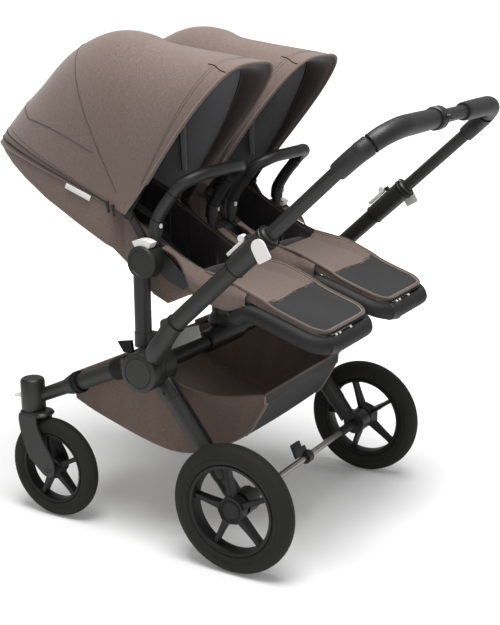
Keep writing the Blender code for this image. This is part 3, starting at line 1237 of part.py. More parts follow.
def build_all():
    root = body("chassis", (0, 0, 0))
    handle = body("handle", HUB, root)
    upper = body("handle_upper", handle_point(0, CLAMP_END), handle)
    rear = body("rear_frame", HUB, root)
    brake = body("brake", (0, 0, REAR_WHEEL_RADIUS), rear)
    build_chassis_middle(root)
    build_basket(root)
    build_axle(rear)
    build_brake_pedal(brake)
    build_handle_upper(upper)
    for side, sign in SIDES.items():
        build_main_hub(side, sign, root)
        build_front_arm(side, sign, root)
        build_caster_housing(side, sign, root)
        build_seat_post(side, sign, root)
        build_rear_leg(side, sign, rear)
        rear_centre = Vector((sign * REAR_WHEEL_X, 0, REAR_WHEEL_RADIUS))
        rear_wheel = body(f"rear_wheel_{side}_body", rear_centre, rear)
        hub_inner = REAR_WHEEL_X - REAR_TYRE_WIDTH / 2 - 0.0015 + RUN_GAP
        wheel(f"rear_wheel_{side}", rear_wheel, rear_centre, REAR_WHEEL_RADIUS, REAR_TYRE_WIDTH,
              REAR_HUB_RADIUS, (sign * hub_inner, sign * (REAR_WHEEL_X + 0.018)))
        caster_top = (sign * FRONT_WHEEL_X, CASTER_Y, CASTER_HOUSING_BOTTOM)
        caster = body(f"caster_{side}", caster_top, root)
        build_fork(side, sign, caster)
        front_centre = Vector((sign * FRONT_WHEEL_X, -WHEELBASE, FRONT_WHEEL_RADIUS))
        front_wheel = body(f"front_wheel_{side}_body", front_centre, caster)
        half = FRONT_TYRE_WIDTH / 2 + FORK_CLEARANCE - RUN_GAP
        wheel(f"front_wheel_{side}", front_wheel, front_centre, FRONT_WHEEL_RADIUS,
              FRONT_TYRE_WIDTH, FRONT_HUB_RADIUS,
              (front_centre.x - half, front_centre.x + half))
        lock_pivot = (sign * FRONT_WHEEL_X, CASTER_Y - CASTER_HOUSING_RADIUS - LOCK_BARREL - RUN_GAP,
                      LOCK_Z)
        build_swivel_lock(side, sign, body(f"lock_{side}", lock_pivot, root))
        build_handle_lower(side, sign, handle)
        build_clamp(side, sign, handle)
        button_place = handle_point(sign * HANDLE_X, D_BUTTON_AT)
        build_clamp_button(side, sign, body(f"clamp_button_{side}_body", button_place, handle))
        lever_place = handle_point(sign * HANDLE_X, LEVER_HINGE_AT, LEVER_HINGE_ABOVE)
        build_clamp_lever(side, sign, body(f"clamp_lever_{side}_body", lever_place, handle))
        seat_place = Vector((sign * SEAT_CENTRE_X, SEAT_HUB_Y, SEAT_HUB_Z))
        seat = body(f"seat_{side}", seat_place, root)
        build_seat_frame(side, sign, seat)
        build_seat_shell(side, sign, seat)
        build_inlay(side, sign, seat)
        build_footrest(side, sign, seat)
        build_canopy(side, sign, seat)
        bow = body(f"canopy_front_{side}", at(sign * SEAT_CENTRE_X, CANOPY_PIVOT), seat)
        build_canopy_bow(side, sign, bow)
        bumper_place = at(sign * (SEAT_CENTRE_X + SEAT_RAIL_OFFSET), BUMPER_BASE)
        build_bumper(side, sign, body(f"bumper_{side}", bumper_place, seat))
        button = body(f"seat_button_{side}_body", (sign * POST_X, SEAT_HUB_Y, SEAT_HUB_Z), root)
        build_release_button(side, sign, button)
    return root


def centre_on_origin(root):
    """Slide the stroller along Y until its origin is the middle of its footprint."""
    bpy.context.view_layer.update()
    depths = [(obj.matrix_world @ Vector(corner)).y for obj in COLLECTION.objects
              if obj.type == "MESH" for corner in obj.bound_box]
    root.location = (0, -(min(depths) + max(depths)) / 2, 0)
    bpy.context.view_layer.update()


ROOT = build_all()
centre_on_origin(ROOT)
print("origin lies", round(-ROOT.location.y, 5), "along Y from the rear axle")
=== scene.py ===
"""Looks of the convertible double stroller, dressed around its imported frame.

Metres, +Z up. Places are written from the floor under the middle of the rear axle, +X on the near
side, and the stroller travels towards -Y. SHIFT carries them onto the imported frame. A place with
two numbers is (y, z), and its X is given apart.
"""
from math import copysign, cos, hypot, pi, radians, sin, sqrt, tau

import bmesh
import bpy
from mathutils import Matrix, Vector


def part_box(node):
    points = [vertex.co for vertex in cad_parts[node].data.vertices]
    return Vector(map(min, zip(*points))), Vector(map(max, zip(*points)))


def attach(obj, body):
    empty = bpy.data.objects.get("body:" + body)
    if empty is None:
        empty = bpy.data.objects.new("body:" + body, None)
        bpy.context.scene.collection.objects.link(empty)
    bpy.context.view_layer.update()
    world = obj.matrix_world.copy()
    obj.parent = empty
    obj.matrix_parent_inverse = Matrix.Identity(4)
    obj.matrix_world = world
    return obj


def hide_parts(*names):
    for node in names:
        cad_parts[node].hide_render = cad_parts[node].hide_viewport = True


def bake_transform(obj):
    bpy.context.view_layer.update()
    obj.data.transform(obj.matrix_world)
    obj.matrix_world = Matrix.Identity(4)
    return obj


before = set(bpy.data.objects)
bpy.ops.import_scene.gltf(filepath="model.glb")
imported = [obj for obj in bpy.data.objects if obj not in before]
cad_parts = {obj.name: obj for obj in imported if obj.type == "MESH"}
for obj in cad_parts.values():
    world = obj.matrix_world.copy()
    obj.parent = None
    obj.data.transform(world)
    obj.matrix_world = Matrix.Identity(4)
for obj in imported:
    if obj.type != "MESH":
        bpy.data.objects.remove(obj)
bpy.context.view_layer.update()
AXLE_LOW, AXLE_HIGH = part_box("rear_axle_bar")
SHIFT = (AXLE_LOW[1] + AXLE_HIGH[1]) / 2
SIDES = {"left": 1, "right": -1}

# Sizes that the solids also use
REAR_WHEEL = dict(radius=0.152, width=0.048, x=0.3415, y=0.0)
FRONT_WHEEL = dict(radius=0.1265, width=0.04, x=0.3005, y=-0.54)
HUB = (-0.238, 0.433)
ARM_X = 0.292
ARM_LINE = ((-0.262, 0.445), (-0.584, 0.3018))
LEG_X = 0.293
LEG_FOOT = (-0.026, 0.158)
CASTER_Y = -0.6
SEAT_HUB = (-0.247, 0.679)
SEAT_X = 0.16
KNEE = (-0.14, 0.56)
HANDLE_ANGLE = radians(42.8)
HANDLE_X = 0.349
BUMPER_BASE = (-0.236, 0.738)
BUMPER_TOP = (-0.13, 0.875)
RAIL = 0.116
CANOPY_PIVOT = (-0.31, 0.776)
CANOPY_LEG = 0.028
CANOPY_FOOT = 0.1275
CANOPY_HALF = 0.145
CANOPY_FLARE = 0.3
CANOPY_DIP = 5.0


# Materials

CLOUD_SCALE = 9.0
ROUGHNESS_SPREAD = 0.06
STRAND_STRETCH = 9.0


def fill(made, *ordered, **named):
    """Set a shader node's inputs by order or name; a socket among the values is linked in."""
    for key, value in [*named.items(), *enumerate(ordered)]:
        key = key.replace("_", " ") if isinstance(key, str) else key
        if isinstance(key, str) and key not in made.inputs:
            setattr(made, key, value)
        elif isinstance(value, bpy.types.NodeSocket):
            made.id_data.links.new(value, made.inputs[key])
        else:
            made.inputs[key].default_value = value
    return made


def node(tree, kind, *ordered, **named):
    return fill(tree.nodes.new(kind), *ordered, **named)


def blank(name):
    """A new material, with its node tree and its shader."""
    material = bpy.data.materials.new(name)
    material.use_nodes = True
    return material, material.node_tree, material.node_tree.nodes["Principled BSDF"]


def toned(tree, source, low, high, colour, contrast):
    """A colour that runs from darker to lighter while a value runs from low to high."""
    made = node(tree, "ShaderNodeValToRGB", source)
    for index, position, amount in ((0, low, 1 - contrast), (1, high, 1 + contrast)):
        made.color_ramp.elements[index].position = position
        made.color_ramp.elements[index].color = (*(min(1.0, part * amount) for part in colour), 1)
    return made.outputs["Color"]


def surface(name, colour, roughness, metallic, contrast, grain, bump, depth, specular=0.5):
    """A finish with cloudy tone, fine grain in its roughness and a fine bump."""
    material, tree, shader = blank(name)
    place = node(tree, "ShaderNodeTexCoord").outputs["Object"]
    clouds = node(tree, "ShaderNodeTexNoise", Vector=place, Scale=CLOUD_SCALE,
                  Detail=4.0).outputs["Fac"]
    fine = node(tree, "ShaderNodeTexNoise", Vector=place, Scale=grain, Detail=3.0).outputs["Fac"]
    rough = node(tree, "ShaderNodeMapRange", fine, To_Min=max(0.05, roughness - ROUGHNESS_SPREAD),
                 To_Max=min(1.0, roughness + ROUGHNESS_SPREAD))
    lift = node(tree, "ShaderNodeBump", Height=fine, Strength=bump * 10, Distance=depth)
    fill(shader, Base_Color=toned(tree, clouds, 0.3, 0.7, colour, contrast), Metallic=metallic,
         Roughness=rough.outputs["Result"], Specular_IOR_Level=specular,
         Normal=lift.outputs["Normal"])
    return material


def cloth(name, colour, contrast, thread, roughness, sheen):
    """A plain woven cloth of mixed light and dark threads, laid out in metres on the UV map."""
    material, tree, shader = blank(name)
    place = node(tree, "ShaderNodeTexCoord").outputs["UV"]
    strands = []
    for stretch in ((1.0, STRAND_STRETCH, 1.0), (STRAND_STRETCH, 1.0, 1.0)):
        turned = node(tree, "ShaderNodeMapping", Vector=place,
                      Scale=[part / thread / STRAND_STRETCH for part in stretch]).outputs["Vector"]
        strands.append(node(tree, "ShaderNodeTexNoise", Vector=turned, Scale=1.0,
                            Detail=2.0).outputs["Fac"])
    mixed = node(tree, "ShaderNodeMath", *strands, operation="ADD").outputs[0]
    half = node(tree, "ShaderNodeMath", mixed, 0.5, operation="MULTIPLY").outputs[0]
    lift = node(tree, "ShaderNodeBump", Height=half, Strength=0.35, Distance=0.0005)
    fill(shader, Base_Color=toned(tree, half, 0.36, 0.64, colour, contrast), Roughness=roughness,
         Sheen_Weight=sheen, Sheen_Roughness=0.5, Specular_IOR_Level=0.25,
         Normal=lift.outputs["Normal"])
    return material


# Each finish's colour, roughness, metal, contrast, grain, bump, its depth, and specular level
FINISHES = {
    "coat": ((0.019, 0.019, 0.0182), 0.44, 0.3, 0.1, 900, 0.03, 0.0002),
    "plastic": ((0.0065, 0.0065, 0.0065), 0.46, 0.0, 0.12, 700, 0.03, 0.0002),
    "rubber": ((0.012, 0.0117, 0.0106), 0.78, 0.0, 0.16, 520, 0.05, 0.0004, 0.25),
    "wheel": ((0.0046, 0.0046, 0.0044), 0.52, 0.0, 0.1, 800, 0.03, 0.0002, 0.3),
    "black": ((0.004, 0.004, 0.004), 0.6, 0.0, 0.1, 600, 0.02, 0.0002, 0.2),
    "white": ((0.7, 0.69, 0.67), 0.38, 0.0, 0.02, 500, 0.01, 0.0001),
    "steel": ((0.4, 0.38, 0.35), 0.3, 1.0, 0.1, 420, 0.02, 0.0002),
    "leather": ((0.011, 0.011, 0.0113), 0.44, 0.0, 0.2, 330, 0.09, 0.0006, 0.45),
    "vinyl": ((0.027, 0.027, 0.0276), 0.6, 0.0, 0.1, 900, 0.06, 0.0003, 0.3),
    "sleeve": ((0.0075, 0.0075, 0.0075), 0.62, 0.0, 0.2, 500, 0.09, 0.0006, 0.35),
    "thread": ((0.066, 0.048, 0.042), 0.85, 0.0, 0.1, 900, 0.03, 0.0002),
}
# Each cloth's colour, contrast, thread width, roughness and sheen
CLOTHS = {
    "fabric": ((0.137, 0.099, 0.084), 0.3, 0.0011, 0.92, 0.25),
    # The fabric's colour darkened to about a quarter: painted shade for the hood's inner front, its
    # hem and inner foot, and the seats' binding.
    "facing": ((0.036, 0.026, 0.0235), 0.25, 0.0011, 0.92, 0.25),
    "basket_cloth": ((0.116, 0.083, 0.066), 0.26, 0.0011, 0.92, 0.25),
    "inlay_cloth": ((0.0125, 0.0095, 0.0098), 0.35, 0.0014, 0.95, 0.3),
    "lining": ((0.208, 0.209, 0.218), 0.14, 0.0012, 0.8, 0.1),
    "piping": ((0.092, 0.067, 0.056), 0.2, 0.0008, 0.88, 0.2),
    "piping_light": ((0.19, 0.155, 0.138), 0.15, 0.0008, 0.85, 0.2),
    "webbing": ((0.01, 0.01, 0.011), 0.4, 0.0016, 0.8, 0.2),
    "tag": ((0.62, 0.61, 0.59), 0.05, 0.0006, 0.75, 0.0),
    "mesh_grey": ((0.24, 0.24, 0.235), 0.3, 0.003, 0.85, 0.1),
}
MATERIALS = {name: surface(name, *values) for name, values in FINISHES.items()}
MATERIALS.update({name: cloth(name, *values) for name, values in CLOTHS.items()})


# Shapes

class Shape:
    """Points and faces of one piece, with their place on the cloth and their material slot."""

    def __init__(self):
        self.points, self.faces, self.places, self.slots = [], [], [], []

    def grid(self, rows, ring=False, loop=False, slot=0, caps=False):
        """Faces between rows of as many points; ring closes each row and loop the rows."""
        base, count = len(self.points), len(rows[0])
        rows = [[Vector(point) for point in row] for row in rows]
        for row in rows:
            self.points.extend(row)
        middle = rows[len(rows) // 2]
        across = [0.0]
        for a, b in zip(middle, middle[1:] + middle[:1]):
            across.append(across[-1] + (b - a).length)
        along = [0.0]
        probe = count // 2
        for a, b in zip(rows, rows[1:] + rows[:1]):
            along.append(along[-1] + (b[probe] - a[probe]).length)
        for i in range(len(rows) if loop else len(rows) - 1):
            here, there = base + i * count, base + (i + 1) % len(rows) * count
            for j in range(count if ring else count - 1):
                k = (j + 1) % count
                self.face((here + j, here + k, there + k, there + j),
                          ((across[j], along[i]), (across[j + 1], along[i]),
                           (across[j + 1], along[i + 1]), (across[j], along[i + 1])), slot)
        if caps:
            for row, start in ((rows[0], base), (rows[-1], base + (len(rows) - 1) * count)):
                self.points.append(sum(row, Vector()) / count)
                centre = len(self.points) - 1
                for j in range(count):
                    self.face((start + j, start + (j + 1) % count, centre),
                              ((0.0, 0.0), (0.002, 0.0), (0.001, 0.002)), slot)
        return self

    def face(self, corners, places, slot):
        self.faces.append(corners)
        self.places.append(places)
        self.slots.append(slot)


def piece(name, shape, body, materials, sharp=40, replaced=()):
    """Make an object of a shape in world space, on its body and in place of the given solids."""
    mesh = bpy.data.meshes.new(name)
    shift = Vector((0, SHIFT, 0))
    mesh.from_pydata([point + shift for point in shape.points], [], shape.faces)
    layer = mesh.uv_layers.new(name="cloth")
    for polygon, places, slot in zip(mesh.polygons, shape.places, shape.slots):
        polygon.material_index = slot
        for loop, place in zip(polygon.loop_indices, places):
            layer.data[loop].uv = place
    for material in [materials] if isinstance(materials, str) else materials:
        mesh.materials.append(MATERIALS[material])
    bm = bmesh.new()
    bm.from_mesh(mesh)
    bmesh.ops.remove_doubles(bm, verts=bm.verts, dist=0.000001)
    bmesh.ops.recalc_face_normals(bm, faces=bm.faces[:])
    bm.to_mesh(mesh)
    bm.free()
    mesh.shade_smooth()
    mesh.set_sharp_from_angle(angle=radians(sharp))
    obj = bpy.data.objects.new(name, mesh)
    bpy.context.scene.collection.objects.link(obj)
    if body:
        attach(obj, body)
    if replaced:
        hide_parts(*replaced)
    return obj


def shares(count):
    """Even steps from 0 to 1, with both ends."""
    return [k / count for k in range(count + 1)]


def turns(count):
    """The angles of even steps round a circle."""
    return [tau * k / count for k in range(count)]


def flipped(points, sign):
    """Points on the side of the stroller that sign gives."""
    return [Vector((sign * point.x, point.y, point.z)) for point in points]


def at(x, pair):
    return Vector((x, *pair))


def basis(x, y, z, place):
    """A matrix that carries the local axes onto three directions, with its origin at place."""
    return Matrix.Translation(place) @ Matrix((x, y, z)).transposed().to_4x4()


def upright(x):
    """A matrix that carries local X and Y onto Y and Z, at a distance across."""
    return Matrix(((0, 0, 1, x), (1, 0, 0, 0), (0, 1, 0, 0), (0, 0, 0, 1)))


def lathe(shape, profile, start, direction, steps):
    """A closed profile of (radius, height) points turned about a line."""
    turn = Vector((0, 0, 1)).rotation_difference(Vector(direction))
    place = Matrix.Translation(Vector(start)) @ turn.to_matrix().to_4x4()
    rows = [[place @ Vector((radius * cos(angle), radius * sin(angle), height))
             for angle in turns(steps)] for radius, height in profile]
    return shape.grid(rows, ring=True, loop=True)


def band(inner, outer, half, bevel, middle=0.0):
    """The profile of a flat ring with bevelled edges, as (radius, height) points."""
    return [(inner, middle - half), (outer, middle - half + bevel),
            (outer, middle + half - bevel), (inner, middle + half)]


def smooth_path(points, between):
    """A curve through the points, with some more between each two."""
    points = [Vector(point) for point in points]
    ends = [points[0] * 2 - points[1]] + points + [points[-1] * 2 - points[-2]]
    path = []
    for a, b, c, d in zip(ends, ends[1:], ends[2:], ends[3:]):
        for k in range(between):
            t = k / between
            path.append(0.5 * (2 * b + (c - a) * t + (2 * a - 5 * b + 4 * c - d) * t ** 2
                               + (3 * b - a - 3 * c + d) * t ** 3))
    return path + [points[-1]]


def heading(points, index):
    return (points[min(index + 1, len(points) - 1)] - points[max(index - 1, 0)]).normalized()


def tube(shape, points, radius, sides):
    """A round bar along a path; radius is a number or a list as long as the path."""
    points = [Vector(point) for point in points]
    radii = radius if isinstance(radius, list) else [radius] * len(points)
    rows, side = [], None
    for index, (point, reach) in enumerate(zip(points, radii)):
        run = heading(points, index)
        if side is None:
            side = run.cross(Vector((0, 0, 1)))
            if side.length < 0.01:
                side = run.cross(Vector((1, 0, 0)))
        side = (side - run * side.dot(run)).normalized()
        other = run.cross(side)
        rows.append([point + (side * cos(angle) + other * sin(angle)) * reach
                     for angle in turns(sides)])
    return shape.grid(rows, ring=True, caps=True)


def rounded(half_u, half_v, corner, steps):
    """A rounded rectangle as a list of (u, v)."""
    outline = []
    for sign_u, sign_v, start in ((1, 1, 0), (-1, 1, 90), (-1, -1, 180), (1, -1, 270)):
        for k in range(steps + 1):
            angle = radians(start + 90 * k / steps)
            outline.append((sign_u * (half_u - corner) + corner * cos(angle),
                            sign_v * (half_v - corner) + corner * sin(angle)))
    return outline


def slab(shape, outline, thickness, place, bevel):
    """A flat outline made a plate with rounded edges, its middle on the local XY plane."""
    middle = Vector((sum(u for u, v in outline), sum(v for u, v in outline), 0)) / len(outline)
    half = thickness / 2
    rows = []
    for height, inset in ((-half, bevel), (-half + bevel, 0), (half - bevel, 0), (half, bevel)):
        row = []
        for u, v in outline:
            out = Vector((u, v, 0)) - middle
            out = out * max(0.0, 1 - inset / max(out.length, 1e-6))
            row.append(place @ (middle + out + Vector((0, 0, height))))
        rows.append(row)
    return shape.grid(rows, ring=True, caps=True)


def strap(shape, points, ups, width, thickness):
    """A flat band along a path, with its face turned to one direction or to a list of them."""
    ups = ups if isinstance(ups, list) else [ups] * len(points)
    rows = []
    for index, (point, up) in enumerate(zip(points, ups)):
        run = heading(points, index)
        side = run.cross(Vector(up)).normalized()
        face = side.cross(run)
        rows.append([point + side * u + face * v
                     for u, v in rounded(width / 2, thickness / 2, thickness * 0.45, 2)])
    return shape.grid(rows, ring=True, caps=True)


def eased_rows(rows, count):
    """The rows with some more on a smooth curve between each two."""
    columns = []
    for k in range(len(rows[0])):
        line = smooth_path([Vector((row[k], 0, 0)) for row in rows], count)
        columns.append([point.x for point in line])
    return list(zip(*columns))


def handle_point(x, distance, above=0.0):
    """A point along the straight handle tube, measured from its knee, and above its axis."""
    y = KNEE[0] + distance * cos(HANDLE_ANGLE) - above * sin(HANDLE_ANGLE)
    z = KNEE[1] + distance * sin(HANDLE_ANGLE) + above * cos(HANDLE_ANGLE)
    return Vector((x, y, z))


HANDLE_ALONG = Vector((0, cos(HANDLE_ANGLE), sin(HANDLE_ANGLE)))
HANDLE_ABOVE = Vector((0, -sin(HANDLE_ANGLE), cos(HANDLE_ANGLE)))


# Solids of the frame that stay, with smooth shading and their own finishes

def dress(name, material):
    """Give a kept solid its finish, and shade it smooth except at its real edges."""
    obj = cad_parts[name]
    mesh = obj.data
    if "custom_normal" in mesh.attributes:
        mesh.attributes.remove(mesh.attributes["custom_normal"])
    for polygon in mesh.polygons:
        polygon.use_smooth = True
        polygon.material_index = 0
    mesh.materials.clear()
    mesh.materials.append(MATERIALS[material])
    weld = obj.modifiers.new("weld", "WELD")
    weld.merge_threshold = 0.00002
    split = obj.modifiers.new("edges", "EDGE_SPLIT")
    split.split_angle = radians(35)


def dress_frame():
    single = {"plastic": ("cross_beam", "centre_post", "brake_pedal", "handle_ring"),
              "coat": ("front_cross_tube", "handle_bar"), "steel": ("rear_axle_bar",)}
    paired = {"coat": ("main_hub", "front_arm", "caster_housing", "seat_post", "rear_leg",
                       "handle_clamp", "seat_frame"), "plastic": ("canopy_bow",),
              "white": ("swivel_lock", "clamp_button", "clamp_lever", "seat_button")}
    for material, names in single.items():
        for name in names:
            dress(name, material)
    for material, names in paired.items():
        for name in names:
            for side in SIDES:
                dress(f"{name}_{side}", material)


# Wheels

# Halves of the tyre's and the rim's profile, as shares of (radius, half the width)
TYRE_HALF = [
    (0.7, 0.6), (0.714, 0.75), (0.738, 0.87), (0.768, 0.95), (0.8, 0.99), (0.806, 0.965),
    (0.812, 0.995), (0.84, 0.995), (0.875, 0.96), (0.91, 0.89), (0.942, 0.78), (0.969, 0.61),
    (0.988, 0.4), (0.997, 0.2), (1.0, 0.0)]
BARREL_HALF = [
    (0.706, 0.7), (0.703, 0.8), (0.694, 0.83), (0.668, 0.8), (0.652, 0.74), (0.643, 0.62),
    (0.64, 0.1)]
# The hub, as (distance along the axle, share of its radius)
HUB_STEPS = [
    (-0.018, 0.8), (-0.016, 0.88), (0.01, 0.95), (0.0155, 1.0), (0.0168, 0.96), (0.0168, 0.86),
    (0.014, 0.82)]
# The cap on the hub, as (share of its radius, distance along the axle)
CAP_STEPS = [
    (0, 0.015), (0.8, 0.0152), (0.86, 0.0142), (0.9, 0.0142), (0.93, 0.0158), (1, 0.0152),
    (1, 0.01), (0, 0.01)]
SPOKES = 5
HUB_LOBE = 0.05
# The degrees that the first spoke is turned by
FIRST_SPOKE = {"left": 99, "right": 108}
# Sizes on the rear wheel, and the spokes' end as a share of the radius
SPOKE_START, SPOKE_END = 0.016, 0.655
HUB_RADIUS = 0.0325
CAP_RADIUS = 0.024


def spoke(shape, centre, sign, angle, start, end):
    """One spoke: a broad front face that narrows towards the rim, with a deep web behind."""
    rows = []
    turn = Matrix.Rotation(angle, 3, "X")
    for share in shares(6):
        reach = start + (end - start) * share
        face = 0.0098 - 0.0042 * min(1.0, share * 1.4) ** 0.7 + 0.0012 * max(0, share - 0.8) * 5
        back = face * 0.55
        front, rear = 0.0135 - 0.003 * share, -0.0165 + 0.004 * share
        half = [(front, face - 0.0015), (front - 0.0015, face), (front - 0.006, face * 0.94),
                (rear + 0.001, back), (rear, back - 0.001)]
        outline = half + [(x, -z) for x, z in reversed(half)]
        rows.append([centre + turn @ Vector((sign * x, reach, z)) for x, z in outline])
    shape.grid(rows, ring=True, caps=True)


def wheel(name, sign, phase, radius, width, x, y):
    """A foam tyre on a five-spoke rim with a deep barrel and a round cap."""
    centre = Vector((sign * x, y, radius))
    axis = (sign, 0, 0)
    tyre, barrel = ([(radius * r, width / 2 * h) for r, h in half]
                    for half in (TYRE_HALF, BARREL_HALF))
    tyre += [(r, -h) for r, h in tyre[-2::-1]]
    barrel += [(r, -h) for r, h in barrel[::-1]]
    piece(f"{name}_tyre_foam", lathe(Shape(), tyre, centre, axis, 96), name, "rubber", 60,
          [f"{name}_tyre"])
    rim = lathe(Shape(), barrel, centre, axis, 96)
    scale = radius / REAR_WHEEL["radius"]
    for angle in turns(SPOKES):
        spoke(rim, centre, sign, angle + phase, SPOKE_START * scale, radius * SPOKE_END)
    hub = HUB_RADIUS * scale
    rows = []
    for height, grow in HUB_STEPS:
        row = []
        for angle in turns(60):
            lobe = hub * grow * (1 + HUB_LOBE * cos(SPOKES * angle))
            row.append(centre + Vector((sign * height, lobe * cos(angle + phase),
                                        lobe * sin(angle + phase))))
        rows.append(row)
    rim.grid(rows, ring=True, caps=True)
    cap = CAP_RADIUS * scale
    lathe(rim, [(cap * share, height) for share, height in CAP_STEPS], centre, axis, 48)
    piece(f"{name}_rim_moulded", rim, name, "wheel", 32, [f"{name}_rim"])


def build_wheels():
    for side, sign in SIDES.items():
        phase = radians(FIRST_SPOKE[side])
        wheel(f"rear_wheel_{side}", sign, phase, **REAR_WHEEL)
        wheel(f"front_wheel_{side}", sign, phase, **FRONT_WHEEL)


# Handle

# The bar's bend, as (x, distance from the knee along the handle)
BAR_BEND = [
    (0.349, 0.535), (0.347, 0.56), (0.341, 0.586), (0.334, 0.601), (0.314, 0.626), (0.292, 0.638),
    (0.266, 0.646), (0.24, 0.65)]
GRIP_START = 0.6072
GRIP_RADIUS = 0.0212
# How far from the middle each grip ends
GRIP_ENDS = {"left": 0.084, "right": 0.085}
# The cuff's start along the handle, its radius and how much it grows
CUFF_START, CUFF_RADIUS, CUFF_GROWTH = 0.529, 0.0184, 0.0029
CUFF_SCREW = [
    (0, -0.0006), (0.0022, -0.0004), (0.0026, 0.0004), (0.0036, 0.0006), (0.0042, -0.0008),
    (0, -0.002)]
SCREW_AT = 0.547
# The rings on the lower tube, as (distance from the knee along the handle, radius)
TUBE_RINGS = [(0.3225, 0.0262), (0.3125, 0.0266), (0.2085, 0.0246)]
KNEE_RING = [(0.02, -0.001), (0.0226, -0.0008), (0.0226, 0.0022), (0.02, 0.0026)]
ELBOW_RADIUS = 0.0222
TUBE_RADIUS = 0.0202
TUBE_END = 0.3214
# The hub's outer disc, as (radius, distance from the stroller's middle)
HUB_DISC = [
    (0, 0.3586), (0.033, 0.3588), (0.0338, 0.3576), (0.035, 0.3576), (0.0358, 0.359),
    (0.043, 0.3584), (0.0462, 0.3566), (0.0475, 0.353), (0.0475, 0.315), (0.0468, 0.3136),
    (0, 0.3136)]
# The elbow out of the hub, as (x, distance from the hub towards the knee)
ELBOW = [
    (0.318, 0.02), (0.3262, 0.036), (0.3375, 0.052), (0.3455, 0.07), (0.349, 0.092),
    (0.349, 0.118)]


def grip_route(inner_x):
    """The bar's centre line from where the grip starts over to its inner end."""
    wide, far = BAR_BEND[-1]
    points = [handle_point(*pair) for pair in BAR_BEND]
    steps = max(2, round((wide - inner_x) / 0.03))
    points += [handle_point(wide + (inner_x - wide) * k / steps, far) for k in range(1, steps + 1)]
    cut = handle_point(0, GRIP_START)
    return [point for point in smooth_path(points, 5) if (point - cut).dot(HANDLE_ALONG) > 0]


def build_grip(side, sign):
    """A leather sleeve that swells a little in the hand."""
    path = flipped(grip_route(GRIP_ENDS[side]), sign)
    radii = [GRIP_RADIUS - 0.0008 + 0.0016 * sin(pi * share) ** 0.6
             for share in shares(len(path) - 1)]
    radii[0] = GRIP_RADIUS - 0.001
    radii[-1] = GRIP_RADIUS - 0.0018
    piece(f"grip_leather_{side}", tube(Shape(), path, radii, 32), "handle_upper", "leather", 50,
          [f"handle_grip_{side}"])
    run = heading(path[:2], 0)
    seam = [(GRIP_RADIUS - 0.0002, -0.0006), (GRIP_RADIUS + 0.0002, 0),
            (GRIP_RADIUS - 0.0002, 0.0006), (GRIP_RADIUS - 0.003, 0)]
    piece(f"grip_seam_{side}", lathe(Shape(), seam, path[0] + run * 0.0012, run, 40),
          "handle_upper", "black")


def build_cuff(side, sign):
    """The smooth cuff that steps out round the bar below the grip, with its screw."""
    points = [handle_point(HANDLE_X, CUFF_START), handle_point(HANDLE_X, CUFF_START + 0.0015)]
    points += [handle_point(*pair) for pair in BAR_BEND[:3]]
    points.append(handle_point(BAR_BEND[2][0] - 0.0012, 0.59))
    points.append(handle_point(BAR_BEND[3][0] - 0.0048, GRIP_START - 0.0006))
    path = flipped(smooth_path(points, 4), sign)
    radii = [CUFF_RADIUS + CUFF_GROWTH * share ** 0.8 for share in shares(len(path) - 1)]
    radii[0] = CUFF_RADIUS - 0.0012
    piece(f"handle_cuff_{side}", tube(Shape(), path, radii, 32), "handle_upper", "leather", 50)
    out = (Vector((sign * 0.97, 0, 0)) + HANDLE_ABOVE * 0.22).normalized()
    spot = handle_point(sign * (HANDLE_X - 0.0006), SCREW_AT) + out * 0.0187
    screw = lathe(Shape(), CUFF_SCREW, spot, out, 24)
    piece(f"cuff_screw_{side}", screw, "handle_upper", "black")


def build_lower_tube(side, sign):
    """The outer disc of the main hub, the smooth elbow out of it and the lower tube."""
    centre = at(0, HUB)
    shape = lathe(Shape(), HUB_DISC, centre, (sign, 0, 0), 72)
    rise = (at(0, KNEE) - centre).normalized()
    points = [centre + rise * far + Vector((x, 0, 0)) for x, far in ELBOW]
    points += [handle_point(HANDLE_X, -0.02, -0.002), handle_point(HANDLE_X, -0.006),
               handle_point(HANDLE_X, 0.004)]
    tube(shape, flipped(smooth_path(points, 5), sign), ELBOW_RADIUS, 36)
    low, high = handle_point(sign * HANDLE_X, 0.002), handle_point(sign * HANDLE_X, TUBE_END)
    tube(shape, [low.lerp(high, share) for share in shares(6)], TUBE_RADIUS, 36)
    piece(f"lower_tube_{side}", shape, "handle", "coat", 40,
          [f"handle_lower_{side}", f"hub_cap_{side}"])
    rings = Shape()
    for distance, radius in TUBE_RINGS:
        lathe(rings, band(radius - 0.002, radius, 0.0016, 0.0005),
              handle_point(sign * HANDLE_X, distance), HANDLE_ALONG, 40)
    lathe(rings, KNEE_RING, handle_point(sign * HANDLE_X, 0.003), HANDLE_ALONG, 40)
    piece(f"handle_rings_{side}", rings, "handle", "black")


def build_handle():
    for side, sign in SIDES.items():
        build_grip(side, sign)
    for side, sign in SIDES.items():
        build_cuff(side, sign)
        build_lower_tube(side, sign)


# Front forks, arms and legs

FORK_SIDE = [
    (-0.57, 0.26), (-0.5679, 0.2341), (-0.5501, 0.195), (-0.5255, 0.1543), (-0.5203, 0.1328),
    (-0.5245, 0.115), (-0.538, 0.1068), (-0.553, 0.109), (-0.566, 0.119), (-0.5812, 0.1321),
    (-0.6046, 0.1584), (-0.6216, 0.2125), (-0.6265, 0.2461), (-0.625, 0.26)]
BLADE_OUT = 0.0266
BLADE_THICKNESS = 0.0072
AXLE_NUT = [
    (0, 0.0318), (0.004, 0.0322), (0.0046, 0.0306), (0.0058, 0.0306), (0.0066, 0.0322),
    (0.0092, 0.0318), (0.01, 0.03), (0, 0.029)]
